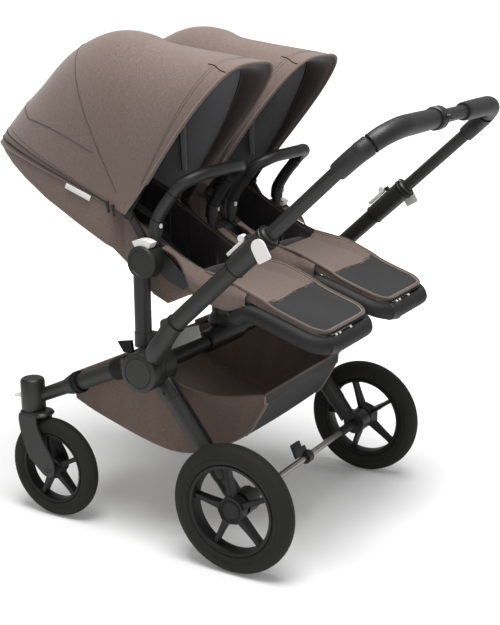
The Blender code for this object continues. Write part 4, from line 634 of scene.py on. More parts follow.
# The fork's round neck, as (radius, height), and its crown: half width, half length and corner,
# place and thickness
FORK_NECK = [(0, 0.2675), (0.0245, 0.2675), (0.0245, 0.259), (0.0268, 0.256), (0, 0.256)]
CROWN = (0.0302, 0.042, 0.024)
CROWN_Y, CROWN_Z = -0.59, 0.2608
CROWN_THICKNESS = 0.0125
# The arm's collar, as (radius, distance along the arm), and its rings, from where each starts
ARM_COLLAR = [
    (0.0205, 0.06), (0.0252, 0.0615), (0.0264, 0.0645), (0.0264, 0.092), (0.0252, 0.0948),
    (0.02, 0.0955)]
ARM_RING = [(0.02, 0), (0.0266, 0.001), (0.0274, 0.004), (0.0266, 0.0078), (0.02, 0.0088)]
ARM_RINGS_AT = (0.2075, 0.218)
CLIP = [(-0.334, 0.48), (-0.294, 0.488), (-0.29, 0.457), (-0.318, 0.456)]
MESH_PLATE = [(-0.2221, 0.506), (-0.138, 0.536), (-0.13, 0.508), (-0.2096, 0.4694)]
# The axle's dark sleeve, as (radius, distance from the middle)
AXLE_SLEEVE = [
    (0.008, 0.19), (0.0112, 0.191), (0.0118, 0.196), (0.0118, 0.2712), (0.008, 0.2716)]
PIN_HOLE = [(0, 0.0006), (0.0034, 0.0006), (0.0042, 0), (0, -0.001)]
# The rear leg's socket, as (distance down the leg, half width, half depth)
SOCKET_STEPS = [
    (0.036, 0.019, 0.0225), (0.042, 0.0214, 0.0256), (0.085, 0.0214, 0.0256),
    (0.0856, 0.0202, 0.0242), (0.0868, 0.0202, 0.0242), (0.0874, 0.0208, 0.0248),
    (0.29, 0.0198, 0.0236), (0.3, 0.0186, 0.022), (0.305, 0.015, 0.0185)]


def build_fork(side, sign):
    """The cast fork: a round neck, a crown that arches over the wheel and two bent blades."""
    x = sign * FRONT_WHEEL["x"]
    shape = Shape()
    lathe(shape, FORK_NECK, (x, CASTER_Y, 0), (0, 0, 1), 40)
    outline = [point.yz for point in smooth_path([at(0, pair) for pair in FORK_SIDE], 3)]
    for face in (-1, 1):
        slab(shape, outline, BLADE_THICKNESS, upright(x + face * BLADE_OUT), 0.002)
        lathe(shape, AXLE_NUT, (x, FRONT_WHEEL["y"], FRONT_WHEEL["radius"]), (face, 0, 0), 28)
    crown = [(u, v + CROWN_Y) for u, v in rounded(*CROWN, 8)]
    slab(shape, crown, CROWN_THICKNESS, Matrix.Translation((x, 0, CROWN_Z)), 0.0048)
    piece(f"fork_cast_{side}", shape, f"caster_{side}", "coat", 42, [f"caster_fork_{side}"])


def build_arm_trim(side, sign):
    """The black collar and rings on the front arm, and the cloth edge along its inner top."""
    start, end = (at(sign * ARM_X, pair) for pair in ARM_LINE)
    run = (end - start).normalized()
    shape = Shape()
    lathe(shape, ARM_COLLAR, start, run, 40)
    for low in ARM_RINGS_AT:
        lathe(shape, [(radius, low + far) for radius, far in ARM_RING], start, run, 40)
    slab(shape, CLIP, 0.009, upright(sign * 0.299), 0.002)
    piece(f"arm_rings_{side}", shape, "chassis", "black")
    above = Vector((0, run.z, -run.y))
    points = [start + run * (0.05 + 0.19 * k / 12)
              + above * (0.0225 - 0.003 * k / 12) - Vector((sign * 0.02, 0, 0))
              for k in range(13)]
    piece(f"basket_edge_{side}", strap(Shape(), points, above, 0.022, 0.014), "chassis", "piping")


def build_leg_trim(side, sign):
    """The socket at the top of the rear leg with its pin hole, and the dark seam behind it."""
    top = at(sign * LEG_X, HUB)
    down = (at(sign * LEG_X, LEG_FOOT) - top).normalized()
    across = Vector((0, -down.z, down.y))
    rows = [[top + down * far + Vector((wide * cos(angle), 0, 0))
             + across * deep * sin(angle) for angle in turns(36)]
            for far, wide, deep in SOCKET_STEPS]
    piece(f"leg_socket_{side}", Shape().grid(rows, ring=True, caps=True), "rear_frame", "coat")
    behind = across if across.y > 0 else -across
    points = [top + down * (0.05 + 0.22 * k / 8) + behind * 0.0262 + Vector((sign * 0.004, 0, 0))
              for k in range(9)]
    seam = tube(Shape(), points, 0.0018, 8)
    hole = top + down * 0.066 + Vector((sign * 0.0212, 0, 0)) - behind * 0.002
    lathe(seam, PIN_HOLE, hole, (sign, 0, 0), 20)
    piece(f"leg_seam_{side}", seam, "rear_frame", "black")


def build_chassis_trim():
    """The forks, the trim of arms and legs, the rear axle's dark sleeves and the mesh plates."""
    sleeves, plates = Shape(), Shape()
    for side, sign in SIDES.items():
        build_fork(side, sign)
        build_arm_trim(side, sign)
        build_leg_trim(side, sign)
    for sign in (-1, 1):
        lathe(sleeves, AXLE_SLEEVE, (0, 0, REAR_WHEEL["radius"]), (sign, 0, 0), 32)
        slab(plates, MESH_PLATE, 0.0016, upright(sign * 0.26), 0.0004)
    piece("axle_sleeves", sleeves, "rear_frame", "plastic")
    piece("mesh_plates", plates, "chassis", "mesh_grey")


# Bumper bars

# Half of the bar: its low part as (distance beyond the rail, y and z from the base), and its high
# part as (share of the rail's distance out, y and z from the top)
BUMPER_LOW = [(0, 0, 0), (0, 0.004, 0.028), (0.001, 0.023, 0.06), (0.001, 0.048, 0.091)]
BUMPER_HIGH = [
    (1, -0.038, -0.024), (0.88, -0.018, -0.01), (0.62, -0.004, -0.001), (0.3, 0, 0), (0, 0, 0)]
BUMPER_RADIUS = 0.0152
SLEEVE_RADIUS = 0.0158
BUTTON_HALF = 0.0042
# Points of the path where the plastic sleeve ends, and where the leather is sewn
SLEEVE_END, SEAM_AT = 7, 19


def bumper_path(centre):
    half = [(RAIL + out, BUMPER_BASE[0] + y, BUMPER_BASE[1] + z) for out, y, z in BUMPER_LOW]
    half += [(RAIL * share, BUMPER_TOP[0] + y, BUMPER_TOP[1] + z) for share, y, z in BUMPER_HIGH]
    whole = half + [(-x, y, z) for x, y, z in half[-2::-1]]
    return smooth_path([(centre + x, y, z) for x, y, z in whole], 6)


def build_bumper(side, sign):
    """The leather bar with its plastic sleeves, seams and white release buttons."""
    centre, body = sign * SEAT_X, f"bumper_{side}"
    path = bumper_path(centre)
    last = len(path) - 1
    radii = []
    for k in range(last + 1):
        inward = min(k, last - k) - SLEEVE_END
        radii.append(SLEEVE_RADIUS if inward < 0 else BUMPER_RADIUS - 0.0008 * min(1, inward / 8))
    piece(f"bumper_leather_{side}", tube(Shape(), path, radii, 28), body, "leather", 50,
          [f"bumper_bar_{side}"])
    rings, buttons = Shape(), Shape()
    for index in (SLEEVE_END, SEAM_AT, last - SEAM_AT, last - SLEEVE_END):
        radius = radii[index]
        lathe(rings, band(radius - 0.001, radius + 0.0008, 0.0012, 0.0004), path[index],
              heading(path, index), 36)
    piece(f"bumper_seams_{side}", rings, body, "black")
    outline = []
    for angle in turns(24):
        stretch = 1.0 if sin(angle) < 0 else 1.9
        outline.append((BUTTON_HALF * cos(angle), BUTTON_HALF * sin(angle) * stretch))
    for edge in (-1, 1):
        base = Vector((centre + edge * RAIL, BUMPER_BASE[0] + 0.0025, BUMPER_BASE[1] + 0.018))
        out = Vector((edge * 0.3, 1, 0.05)).normalized()
        up = (Vector((0, 0, 1)) - out * out.z).normalized()
        slab(buttons, outline, 0.004, basis(up.cross(out), up, out, base + out * SLEEVE_RADIUS),
             0.001)
    piece(f"bumper_buttons_{side}", buttons, body, "white")


# Canopies

# The hood's rows, as (degrees from +Y about the pivot, reach of the ridge, fullness of the arch)
CANOPY_ROWS = [
    (51, 0.43, 3.8), (60, 0.4, 3.5), (70, 0.38, 3.0), (80, 0.373, 2.7), (87, 0.377, 2.6),
    (93, 0.392, 2.6), (103, 0.408, 2.6), (118, 0.408, 2.6), (136, 0.403, 2.6), (147, 0.42, 2.6),
    (158, 0.456, 2.6)]
CANOPY_FRONT, CANOPY_BACK = CANOPY_ROWS[0][0], CANOPY_ROWS[-1][0]
DIP_FROM = 145
# Where the hood starts to follow its folding front bow, and where it follows it wholly
ARCS = sorted({*shares(72), 0.004, 0.008, 0.992, 0.996})
TRIM_ARCS = shares(100)[1:-1]
LINING_DEPTH = 0.0022
TURN_IN = 9
SIDE_SEAM_ANGLE = 115
ZIP_ANGLE = 155.0
SLEEVE_ANGLE = 92
# The arc where the rear seam leaves the side seam, and its degrees there and across the back
CROSS_SEAM_FROM, CROSS_SEAM_LOW, CROSS_SEAM_HIGH = 0.075, 116.5, 145.5
# Lines along the hood's arch, as (degrees, radius), the degrees of its stitched ones, and the
# arcs where its zip pulls hang
RIM_LINES = [(51.4, 0.0036), (157.7, 0.0024)]
ZIP_LINES = [(154.1, 0.0007), (156.2, 0.0013)]
STITCHES = (56.4, 57.5, 152.6)
ZIP_PULLS = (0.0015, 0.0075, 0.9925, 0.9985)
# The padded front hem, as (degrees, depth under the cloth)
HEM_STEPS = [
    (51.6, 0.0024), (52.0, 0.013), (53.2, 0.0205), (56.0, 0.0215), (58.6, 0.0205), (60.2, 0.013),
    (61.0, 0.0024)]


def canopy_row(angle):
    """The reach and fullness of the hood at an angle, rounded off between the listed rows."""
    rows = CANOPY_ROWS
    for index, (lower, upper) in enumerate(zip(rows, rows[1:])):
        if angle <= upper[0]:
            break
    before = rows[max(index - 1, 0)]
    after = rows[min(index + 2, len(rows) - 1)]
    span = upper[0] - lower[0]
    t = (angle - lower[0]) / span
    values = []
    for k in (1, 2):
        a = (upper[k] - before[k]) / (upper[0] - before[0])
        b = (after[k] - lower[k]) / (after[0] - lower[0])
        values.append((2 * t ** 3 - 3 * t ** 2 + 1) * lower[k]
                      + (t ** 3 - 2 * t ** 2 + t) * span * a
                      + (3 * t ** 2 - 2 * t ** 3) * upper[k] + (t ** 3 - t ** 2) * span * b)
    return values


def canopy_half(far):
    """Half the hood's width at a distance from its pivot."""
    share = max(0.0, min(1.0, (far - CANOPY_LEG) / CANOPY_FLARE))
    ease = share * share * (3 - 2 * share)
    return CANOPY_FOOT + (CANOPY_HALF - CANOPY_FOOT) * ease


def from_pivot(x, far, degrees):
    """A point at a distance and direction from the hood's pivot."""
    tilt = radians(degrees)
    return at(x, (CANOPY_PIVOT[0] + far * cos(tilt), CANOPY_PIVOT[1] + far * sin(tilt)))


def canopy_point(centre, angle, arc, inset=0.0):
    """A point of the hood: arc runs from 0 at its +X foot over the top to 1."""
    reach, fullness = canopy_row(angle)
    turn = pi * arc
    power = 2.0 / fullness
    side = copysign(abs(cos(turn)) ** power, cos(turn))
    rise = max(0.0, sin(turn)) ** power
    far = CANOPY_LEG + (reach - inset - CANOPY_LEG) * rise
    dip = CANOPY_DIP * max(0.0, (angle - DIP_FROM) / (CANOPY_BACK - DIP_FROM)) * rise ** 2
    return from_pivot(centre + (canopy_half(far) - inset) * side, far, angle + dip)


def canopy_line(centre, angles, arcs, lift):
    """Points on the hood just above its cloth, with the directions that face away from it."""
    points, ups = [], []
    for angle, arc in zip(angles if isinstance(angles, list) else [angles] * len(arcs), arcs):
        here = canopy_point(centre, angle, arc)
        ahead = (canopy_point(centre, min(angle + 1, CANOPY_BACK), arc)
                 - canopy_point(centre, max(angle - 1, CANOPY_FRONT), arc))
        across = (canopy_point(centre, angle, min(arc + 0.01, 1))
                  - canopy_point(centre, angle, max(arc - 0.01, 0)))
        up = across.cross(ahead).normalized()
        if up.dot(here - at(centre, CANOPY_PIVOT)) < 0:
            up = -up
        points.append(here + up * lift)
        ups.append(up)
    return points, ups


def cross_seam_angle(arc):
    """Where the rear seam lies: high across the back, and down to the side seam at each end."""
    out = min(arc, 1 - arc)
    share = max(0.0, min(1.0, (out - CROSS_SEAM_FROM) / 0.21))
    return CROSS_SEAM_LOW + (CROSS_SEAM_HIGH - CROSS_SEAM_LOW) * share ** 0.5


def build_canopy(side, sign):
    """The hood: cloth, grey lining, padded rim, seams, a zip along the hem and a blank tag."""
    centre = sign * SEAT_X

    def joined(name, shape, materials, sharp=50):
        made = piece(f"canopy_{name}_{side}", shape, None, materials, sharp)
        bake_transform(made)
        return made

    def line(shape, angles, lift, radius, sides, arcs=TRIM_ARCS):
        tube(shape, canopy_line(centre, angles, arcs, lift)[0], radius, sides)

    angles = [CANOPY_FRONT + (CANOPY_BACK - CANOPY_FRONT) * k / 90 for k in range(91)]
    outer, inner = ([[canopy_point(centre, angle, arc, deep) for arc in ARCS] for angle in angles]
                    for deep in (0.0, LINING_DEPTH))
    hood = Shape()
    # The inner rows at the hood's front take the darkened fabric as painted shade; the rest of the
    # inside takes the grey lining.
    for rows, slot in ((outer, 0), (inner[:TURN_IN + 1], 2), (inner[TURN_IN:], 1),
                       ([outer[0], inner[0]], 0), ([outer[-1], inner[-1]], 0)):
        hood.grid(rows, slot=slot)
    hood_cloth = joined("cloth", hood, ["fabric", "lining", "facing"], 70)
    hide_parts(f"canopy_{side}")
    hem = Shape().grid([[canopy_point(centre, angle, arc, deep) for arc in TRIM_ARCS]
                        for angle, deep in HEM_STEPS])
    # The padded hem inside the front takes the darkened fabric, painted shade.
    joined("hem", hem, "facing", 70)
    for edge in (-1, 1):
        fan = []
        for far in (0.001, 0.01, 0.02, CANOPY_LEG):
            bulge = 0.0016 * (1 - far / CANOPY_LEG)
            fan.append([from_pivot(centre + edge * (CANOPY_FOOT + bulge), far, angle)
                        for angle in angles[::3]])
        # The foot towards the other hood takes the darkened fabric as painted shade; the outer foot
        # takes the plain fabric.
        name, material = ("outer", "fabric") if edge == sign else ("inner", "facing")
        joined(f"foot_{name}", Shape().grid(fan), material, 70)
    rims, seams, teeth = Shape(), Shape(), Shape()
    for angle, radius in RIM_LINES:
        line(rims, angle, -0.0004, radius, 12)
    joined("rims", rims, "fabric")
    line(seams, SIDE_SEAM_ANGLE, 0.0, 0.0013, 8)
    reach = [arc for arc in TRIM_ARCS if CROSS_SEAM_FROM <= arc <= 1 - CROSS_SEAM_FROM]
    line(seams, [cross_seam_angle(arc) for arc in reach], 0.0, 0.0011, 8, reach)
    for angle in STITCHES:
        line(seams, angle, -0.0001, 0.0006, 6)
    joined("seams", seams, "thread")
    zip_band = strap(Shape(), *canopy_line(centre, ZIP_ANGLE, TRIM_ARCS, 0.0005), 0.0125, 0.0012)
    joined("zip", zip_band, "piping")
    for angle, radius in ZIP_LINES:
        line(teeth, angle, 0.0011, radius, 6)
    for arc in ZIP_PULLS:
        spot = canopy_line(centre, 155.2, [arc], 0.0034)[0][0]
        hang = spot + Vector((0, 0.003, -0.02))
        tube(teeth, [spot + (spot - hang) * 0.3, spot, spot.lerp(hang, 0.35), hang],
             [0.0034, 0.004, 0.0024, 0.003], 8)
    joined("zip_teeth", teeth, "plastic")
    # A thin black line over the front of the hood: painted shade in a crease of the cloth.
    crease_shade = Shape()
    line(crease_shade, [59.5 - 7.7 * share for share in shares(12)], 0.0006, 0.001, 6,
         [0.385 - 0.03 * share + 0.006 * sin(tau * share) for share in shares(12)])
    joined("fold_crease_painted_shade", crease_shade, "black")
    points = [canopy_point(centre, SLEEVE_ANGLE, arc, 0.012) for arc in TRIM_ARCS[1:-1]]
    ups = [(at(centre, CANOPY_PIVOT) - point).normalized() for point in points]
    joined("sleeve", strap(Shape(), points, ups, 0.022, 0.008), "lining")
    points = [canopy_point(centre, 94.4, arc, 0.015) for arc in TRIM_ARCS[1:-1]]
    joined("sleeve_edge", tube(Shape(), points, 0.0022, 8), "black")
    back = radians(CANOPY_BACK)
    points = []
    for share in shares(6):
        arc = 0.03 + 0.046 * share
        points.append(canopy_point(centre, 157.8, arc if sign > 0 else 1 - arc)
                      + Vector((sign * 0.0042, -sin(back) * 0.007, cos(back) * 0.007)))
    joined("tag", strap(Shape(), points, Vector((sign, 0, 0.1)), 0.013, 0.0008), "tag")


# Seats

# The seat from its front edge back, as (floor's y and z, rim's y and z, half width, padding)
HIP_ROWS = [
    (0.0405, 0.5995, 0.0405, 0.6125, 0.117, 0.0055), (0.01, 0.608, 0.012, 0.621, 0.117, 0.009),
    (-0.03, 0.5965, -0.03, 0.642, 0.116, 0.03), (-0.05, 0.5885, -0.052, 0.647, 0.104, 0.042),
    (-0.095, 0.597, -0.095, 0.656, 0.104, 0.048), (-0.1055, 0.5985, -0.1055, 0.659, 0.104, 0.049),
    (-0.1075, 0.599, -0.1075, 0.6595, 0.104, 0.005), (-0.146, 0.604, -0.146, 0.674, 0.104, 0.005),
    (-0.2, 0.59, -0.2, 0.701, 0.104, 0.005), (-0.226, 0.572, -0.236, 0.723, 0.104, 0.005),
    (-0.258, 0.586, -0.275, 0.746, 0.104, 0.005), (-0.3, 0.622, -0.318, 0.77, 0.104, 0.005),
    (-0.331, 0.652, -0.3335, 0.785, 0.104, 0.005)]
# The seat's back, as (floor's y and z, distance of its rim from the hood's pivot)
BACK_ROWS = [
    (-0.356, 0.69, 0.043), (-0.38, 0.699, 0.075), (-0.45, 0.738, 0.15), (-0.54, 0.789, 0.245),
    (-0.61, 0.831, 0.32), (-0.655, 0.86, 0.37), (-0.686, 0.882, 0.404), (-0.706, 0.8965, 0.426),
    (-0.712, 0.901, 0.432)]
INLAY_FROM = 6
SHELL_WALL = 0.005
RIM_DROP = 0.0014
# Shares of the way along the liner: the buckle, and the two ends of the shoulder belts
BUCKLE_AT, BELTS_FROM, BELTS_TO = 0.27, 0.36, 0.7


def back_row(y, z, far):
    """A row of the tub whose rim follows the hood's rear hem."""
    angle, reach, fullness = CANOPY_ROWS[-1]
    rise = min(1.0, max(0.0, (far - CANOPY_LEG) / (reach - CANOPY_LEG)))
    half = canopy_half(far) * (1 - rise ** fullness) ** (1 / fullness) - RIM_DROP
    tilt = radians(angle + CANOPY_DIP * rise ** 2)
    return (y, z, CANOPY_PIVOT[0] + far * cos(tilt) - RIM_DROP * sin(tilt),
            CANOPY_PIVOT[1] + far * sin(tilt) + RIM_DROP * cos(tilt), half, SHELL_WALL)


def between_rows(rows, count):
    """The rows with some more evenly set between each two."""
    result = []
    for a, b in zip(rows, rows[1:]):
        for share in shares(count)[:-1]:
            result.append(tuple(u + (v - u) * share for u, v in zip(a, b)))
    return result + [rows[-1]]


def section(centre, row, outline):
    """An outline of (across, height) set up on a row's floor, towards its rim."""
    low = at(0, row[:2])
    up = (at(0, row[2:4]) - low).normalized()
    return [low + up * v + Vector((centre + u, 0, 0)) for u, v in outline]


def wall_height(row):
    return hypot(row[2] - row[0], row[3] - row[1])


def tub_outline(row):
    """The tub's outside and inside as (across, height), with rounded lower corners."""
    half, pad = row[4:]
    wall = wall_height(row)
    corner = min(0.02, wall * 0.4)
    thin = min(SHELL_WALL, half * 0.3)
    outer = [(half, wall), (half, (wall + corner) / 2)]
    for k in range(5):
        angle = pi / 2 * k / 4
        outer.append((half - corner + corner * cos(angle), corner - corner * sin(angle)))
    shelf = max(min(pad, wall - 0.0006), 0.001)
    lift = max(shelf, min(corner + SHELL_WALL * 0.6, wall - 0.0004))
    inner = [(half - thin, wall), (half - thin, lift), (half - max(corner, thin + 0.002), shelf)]
    outline = outer + [(-u, v) for u, v in reversed(outer)]
    return outline + [(-u, v) for u, v in inner] + list(reversed(inner))


def build_shell(side, sign):
    """The seat's cloth tub, with its bound rim."""
    centre, body = sign * SEAT_X, f"seat_{side}"
    dense = between_rows(HIP_ROWS + [back_row(*row) for row in BACK_ROWS], 4)
    shape = Shape().grid([section(centre, row, tub_outline(row)) for row in dense], ring=True,
                         caps=True)
    piece(f"seat_tub_{side}", shape, body, "fabric", 45, [f"seat_shell_{side}"])
    # The binding along the tub's rim takes the darkened fabric, painted shade along the inner rim.
    binding = Shape()
    for edge in (-1, 1):
        tube(binding, [at(centre + edge * (row[4] - 0.0042), row[2:4]) for row in dense[16:]],
             0.0026, 8)
    piece(f"seat_binding_{side}", binding, body, "facing")


def build_inlay(side, sign):
    """The dark padded liner, sewn across into panels, with a wing along each side."""
    centre = sign * SEAT_X
    dense = between_rows(HIP_ROWS[INLAY_FROM:] + [back_row(*row) for row in BACK_ROWS[:-2]], 6)
    last = len(dense) - 1
    floor = SHELL_WALL + 0.002
    rings, top = [], []
    for step, row in enumerate(dense):
        done = step / last
        puff = abs(sin(pi * (done * 6))) ** 0.5
        end = min(1.0, step / 5 + 0.45, (last - step) / 5 + 0.45)
        wall, wide = wall_height(row), row[4] - SHELL_WALL - 0.002
        corner = min(0.016, wall * 0.4)
        deep = 0.04 + (0.022 - 0.04) * min(1.0, max(0.0, (done - 0.15) / 0.3))
        crown = floor + min(deep * (0.78 + 0.22 * puff) * end, wall - floor - 0.004)
        high = wall - 0.0015
        inner = wide - 0.012 * (0.6 + 0.4 * puff)
        half = [(0, floor), (wide * 0.5, floor), (wide - corner, floor), (wide, floor + corner),
                (wide, high - 0.004), (wide - 0.002, high - 0.001), (wide - 0.005, high),
                (inner + 0.001, max(high - 0.003, crown + 0.0006)),
                (inner, max((high + crown) / 2, crown + 0.0004)), (inner - 0.004, crown - 0.003),
                (inner - 0.012, crown - 0.0022)]
        for k in range(1, 7):
            share = 1 - k / 6
            half.append(((inner - 0.02) * share, crown - 0.0016 + 0.0024 * (1 - share ** 2) * puff))
        rings.append(section(centre, row, half + [(-u, v) for u, v in reversed(half[1:-1])]))
        low = at(centre, row[:2])
        up = (at(centre, row[2:4]) - low).normalized()
        top.append((low + up * (crown + 0.003), up))
    liner = piece(f"seat_liner_{side}", Shape().grid(rings, ring=True, caps=True), f"seat_{side}",
                  "inlay_cloth", 80, [f"seat_inlay_{side}"])
    build_harness(side, top)


def build_harness(side, top):
    """The dark belts over the liner: two over the shoulders, two from the sides, and a buckle.

    top holds points along the middle of the liner, from its front end up the back, each with the
    way that the liner faces there.
    """
    belts, pads, tips = Shape(), Shape(), Shape()
    last = len(top) - 1
    run = top[round(last * BELTS_FROM):round(last * BELTS_TO) + 1]
    middle, face = top[round(last * BUCKLE_AT)]
    ups = [up for point, up in run]
    for edge in (-1, 1):
        points = [point + Vector((edge * (0.016 + 0.022 * share), 0, 0)) + up * 0.001
                  for (point, up), share in zip(run, shares(len(run) - 1))]
        strap(belts, points, ups, 0.022, 0.002)
        strap(pads, [point + up * 0.003 for point, up in zip(points[6:-3], ups[6:-3])], ups[6:-3],
              0.036, 0.007)
        hip = [middle + Vector((edge * (0.014 + 0.066 * k / 6), -0.018 * k / 6, 0)) + face * 0.004
               + face * 0.006 * sin(pi * k / 6) for k in range(7)]
        strap(belts, hip, face, 0.024, 0.002)
        tip = points[4] + ups[4] * 0.003
        strap(tips, [tip, tip + (points[5] - points[4]).normalized() * 0.012], ups[4], 0.014, 0.003)
    level = Vector((1, 0, 0))
    slab(pads, rounded(0.019, 0.023, 0.008, 4), 0.012,
         basis(level, face.cross(level), face, middle + face * 0.01), 0.003)
    for name, shape, material in (("belts", belts, "webbing"), ("pads", pads, "plastic"),
                                  ("tips", tips, "white")):
        piece(f"harness_{name}_{side}", shape, f"seat_{side}", material)


# Calf rests, flaps and footrests

FOOTREST_LINE = [
    (-0.03, 0.572), (-0.012, 0.583), (0.008, 0.5868), (0.04, 0.579), (0.1, 0.5594),
    (0.137, 0.5472), (0.187, 0.5303)]
FOOTREST_CORNER = 0.05
FOOTREST_RADIUS = 0.0196
RIVET = [(0, 0.0026), (0.002, 0.0022), (0.0028, 0.001), (0.0028, -0.001), (0, -0.001)]
RIVETS_ACROSS = (0.006, -0.047, -0.064)
# The dark wraps on the loop, as (share of the way round it, width)
WRAPS = [(0.415, 0.028), (0.575, 0.007)]
# The rings on the seat's arm beside each hub, as distances from the seat's middle
HUB_RINGS = (0.1203, 0.1243)
PANEL_START = (0.042, 0.5993)
PANEL_SLOPE = radians(-18.5)
PANEL_LENGTH = 0.15
PANEL_HALF = 0.116
PANEL_CORNER = 0.042
# The calf rest's top, as (y, height in the middle, height of its sides, half width)
CALF_ROWS = [
    (-0.114, 0.65, 0.661, 0.1048), (-0.095, 0.6468, 0.658, 0.1052),
    (-0.06, 0.6362, 0.6515, 0.1085), (-0.03, 0.629, 0.6445, 0.1168), (0.012, 0.6188, 0.628, 0.118),
    (0.0405, 0.6078, 0.6155, 0.118), (0.06, 0.6002, 0.605, 0.1178), (0.085, 0.5916, 0.595, 0.1176),
    (0.115, 0.5816, 0.5845, 0.1172), (0.15, 0.5699, 0.5728, 0.1168),
    (0.1842, 0.5583, 0.5608, 0.1165)]
# Each row of piping, as (name, inset from the edge, radius, material)
CALF_PIPING = [("outer", 0.0006, 0.0034, "piping"), ("inner", 0.0074, 0.0019, "piping_light")]
FLAP_TOP = [
    (-0.212, 0.7125), (-0.19, 0.6985), (-0.165, 0.6855), (-0.14, 0.6745), (-0.11, 0.664),
    (-0.08, 0.6565), (-0.05, 0.651), (-0.028, 0.6455), (0.002, 0.6335)]
FLAP_LOW = [
    (-0.209, 0.71), (-0.173, 0.693), (-0.154, 0.662), (-0.134, 0.624), (-0.113, 0.608),
    (-0.082, 0.597), (-0.046, 0.59), (-0.023, 0.596), (0.002, 0.606)]
# Half widths of the flaps: their top at the hip and by the calf rest, and their low edge
FLAP_HIP, FLAP_CALF, FLAP_OUT = 0.1035, 0.117, 0.1296
FIN_OUT = 0.1238
FIN = [
    (-0.226, 0.713), (-0.186, 0.683), (-0.14, 0.637), (-0.16, 0.62), (-0.205, 0.638),
    (-0.225, 0.656)]


def panel_place(centre, out):
    """A matrix with X down the calf panel, Y across it and Z out of its face."""
    slope = Vector((0, cos(PANEL_SLOPE), sin(PANEL_SLOPE)))
    normal = Vector((0, -slope.z, slope.y))
    return basis(slope, normal.cross(slope), normal, at(centre, PANEL_START) + normal * out)


def panel_outline():
    arc = [(PANEL_LENGTH - PANEL_CORNER * (1 - sin(angle)),
            PANEL_HALF - PANEL_CORNER * (1 - cos(angle)))
           for angle in (pi / 2 * k / 10 for k in range(11))]
    return [(0, -PANEL_HALF), (0, PANEL_HALF)] + arc + [(x, -y) for x, y in reversed(arc)]


def calf_half(y, half):
    """The half width at y, with the panel's rounded far corners."""
    far = (y - PANEL_START[0]) / cos(PANEL_SLOPE)
    over = max(0.0, far - (PANEL_LENGTH - PANEL_CORNER)) / PANEL_CORNER
    return half - PANEL_CORNER * (1 - sqrt(max(0.0, 1 - min(1.0, over) ** 2)))


def calf_height(row, share):
    """The height across the calf rest: flat in the middle and raised along its sides."""
    out = min(1.0, max(0.0, (abs(share) - 0.66) / 0.3))
    lift = out ** 2 * (3 - 2 * out)
    return row[1] + (row[2] - row[1]) * lift + 0.0016 * (1 - share ** 2)


def vinyl_edge(share):
    """The y of the seam where the cloth ends and the vinyl starts, a little wavy and slanted."""
    return 0.043 + 0.0045 * sin(pi * share) - 0.003 * share


def build_calf(side, sign):
    """One sheet from the seat's front edge down over the panel, with two rows of piping."""
    centre, body = sign * SEAT_X, f"seat_{side}"
    rows = eased_rows(CALF_ROWS, 8)
    across = [-1 + 2 * k / 48 for k in range(49)]
    drop = Vector((0, 0, -0.018))
    sheet_rows = []
    for row in rows:
        half = calf_half(row[0], row[3])
        line = [Vector((centre + share * half, row[0], calf_height(row, share)))
                for share in across]
        sheet_rows.append([line[0] + drop, *line, line[-1] + drop])
    shape = Shape().grid(sheet_rows)
    columns = len(sheet_rows[0]) - 1
    for index in range(len(shape.slots)):
        row, column = divmod(index, columns)
        inside = 0 < column < columns - 1
        if inside and rows[row][0] > vinyl_edge(sign * across[column - 1]):
            shape.slots[index] = 1
    cover = piece(f"calf_cover_{side}", shape, body, ["fabric", "vinyl"], 70)
    end_y, end_half = CALF_ROWS[-1][0], CALF_ROWS[-1][3]
    for name, inset, radius, material in CALF_PIPING:
        spots = [(max(0.0, calf_half(row[0], row[3]) - inset), min(row[0], end_y - inset),
                  calf_height(row, 1 - inset / end_half) + 0.0008) for row in rows]
        left, right = ([Vector((centre + edge * x, y, z)) for x, y, z in spots]
                       for edge in (-1, 1))
        gap = [left[-1].lerp(right[-1], k / 8) for k in range(1, 8)]
        thin = left[:1]
        for point in left[1:] + gap + right[::-1]:
            if (point - thin[-1]).length > 0.0016:
                thin.append(point)
        piece(f"calf_piping_{name}_{side}", tube(Shape(), thin, radius, 10), body, material)
    line = []
    for k in range(33):
        share = -0.93 + 1.86 * k / 32
        y = vinyl_edge(sign * share)
        row = min(rows, key=lambda item: abs(item[0] - y))
        line.append(Vector((centre + share * row[3], y, calf_height(row, share) + 0.0004)))
    piece(f"calf_seam_{side}", tube(Shape(), line, 0.001, 6), body, "thread")


def build_flaps(side, sign):
    """The cloth sides between the seat's rim and the footrest, over the seat's arms."""
    centre, body = sign * SEAT_X, f"seat_{side}"
    shape, edges, fins = Shape(), Shape(), Shape()
    top, low = (smooth_path([at(0, pair) for pair in line], 5) for line in (FLAP_TOP, FLAP_LOW))
    for edge in (-1, 1):
        rows = []
        for share in shares(8):
            out = sin(pi / 2 * min(1.0, share * 1.9))
            row = []
            for a, b in zip(top, low):
                start = FLAP_HIP + (FLAP_CALF - FLAP_HIP) * max(0, min(1, (a.y + 0.055) / 0.025))
                wide = start + (FLAP_OUT - start) * out + 0.0012 * sin(a.y * 160) * share
                row.append(at(centre + edge * wide, a.lerp(b, share).yz))
            rows.append(row)
        shape.grid(rows)
        tube(edges, rows[-1], 0.0021, 8)
        slab(fins, FIN, 0.003, upright(centre + edge * FIN_OUT), 0.0008)
        for out in HUB_RINGS:
            lathe(fins, band(0.037, 0.0396, 0.0014, 0.0005, out), (centre, *SEAT_HUB),
                  (edge, 0, 0), 48)
    piece(f"seat_flaps_{side}", shape, body, "fabric", 70)
    piece(f"seat_flap_edges_{side}", edges, body, "piping")
    piece(f"seat_fins_{side}", fins, body, "plastic")


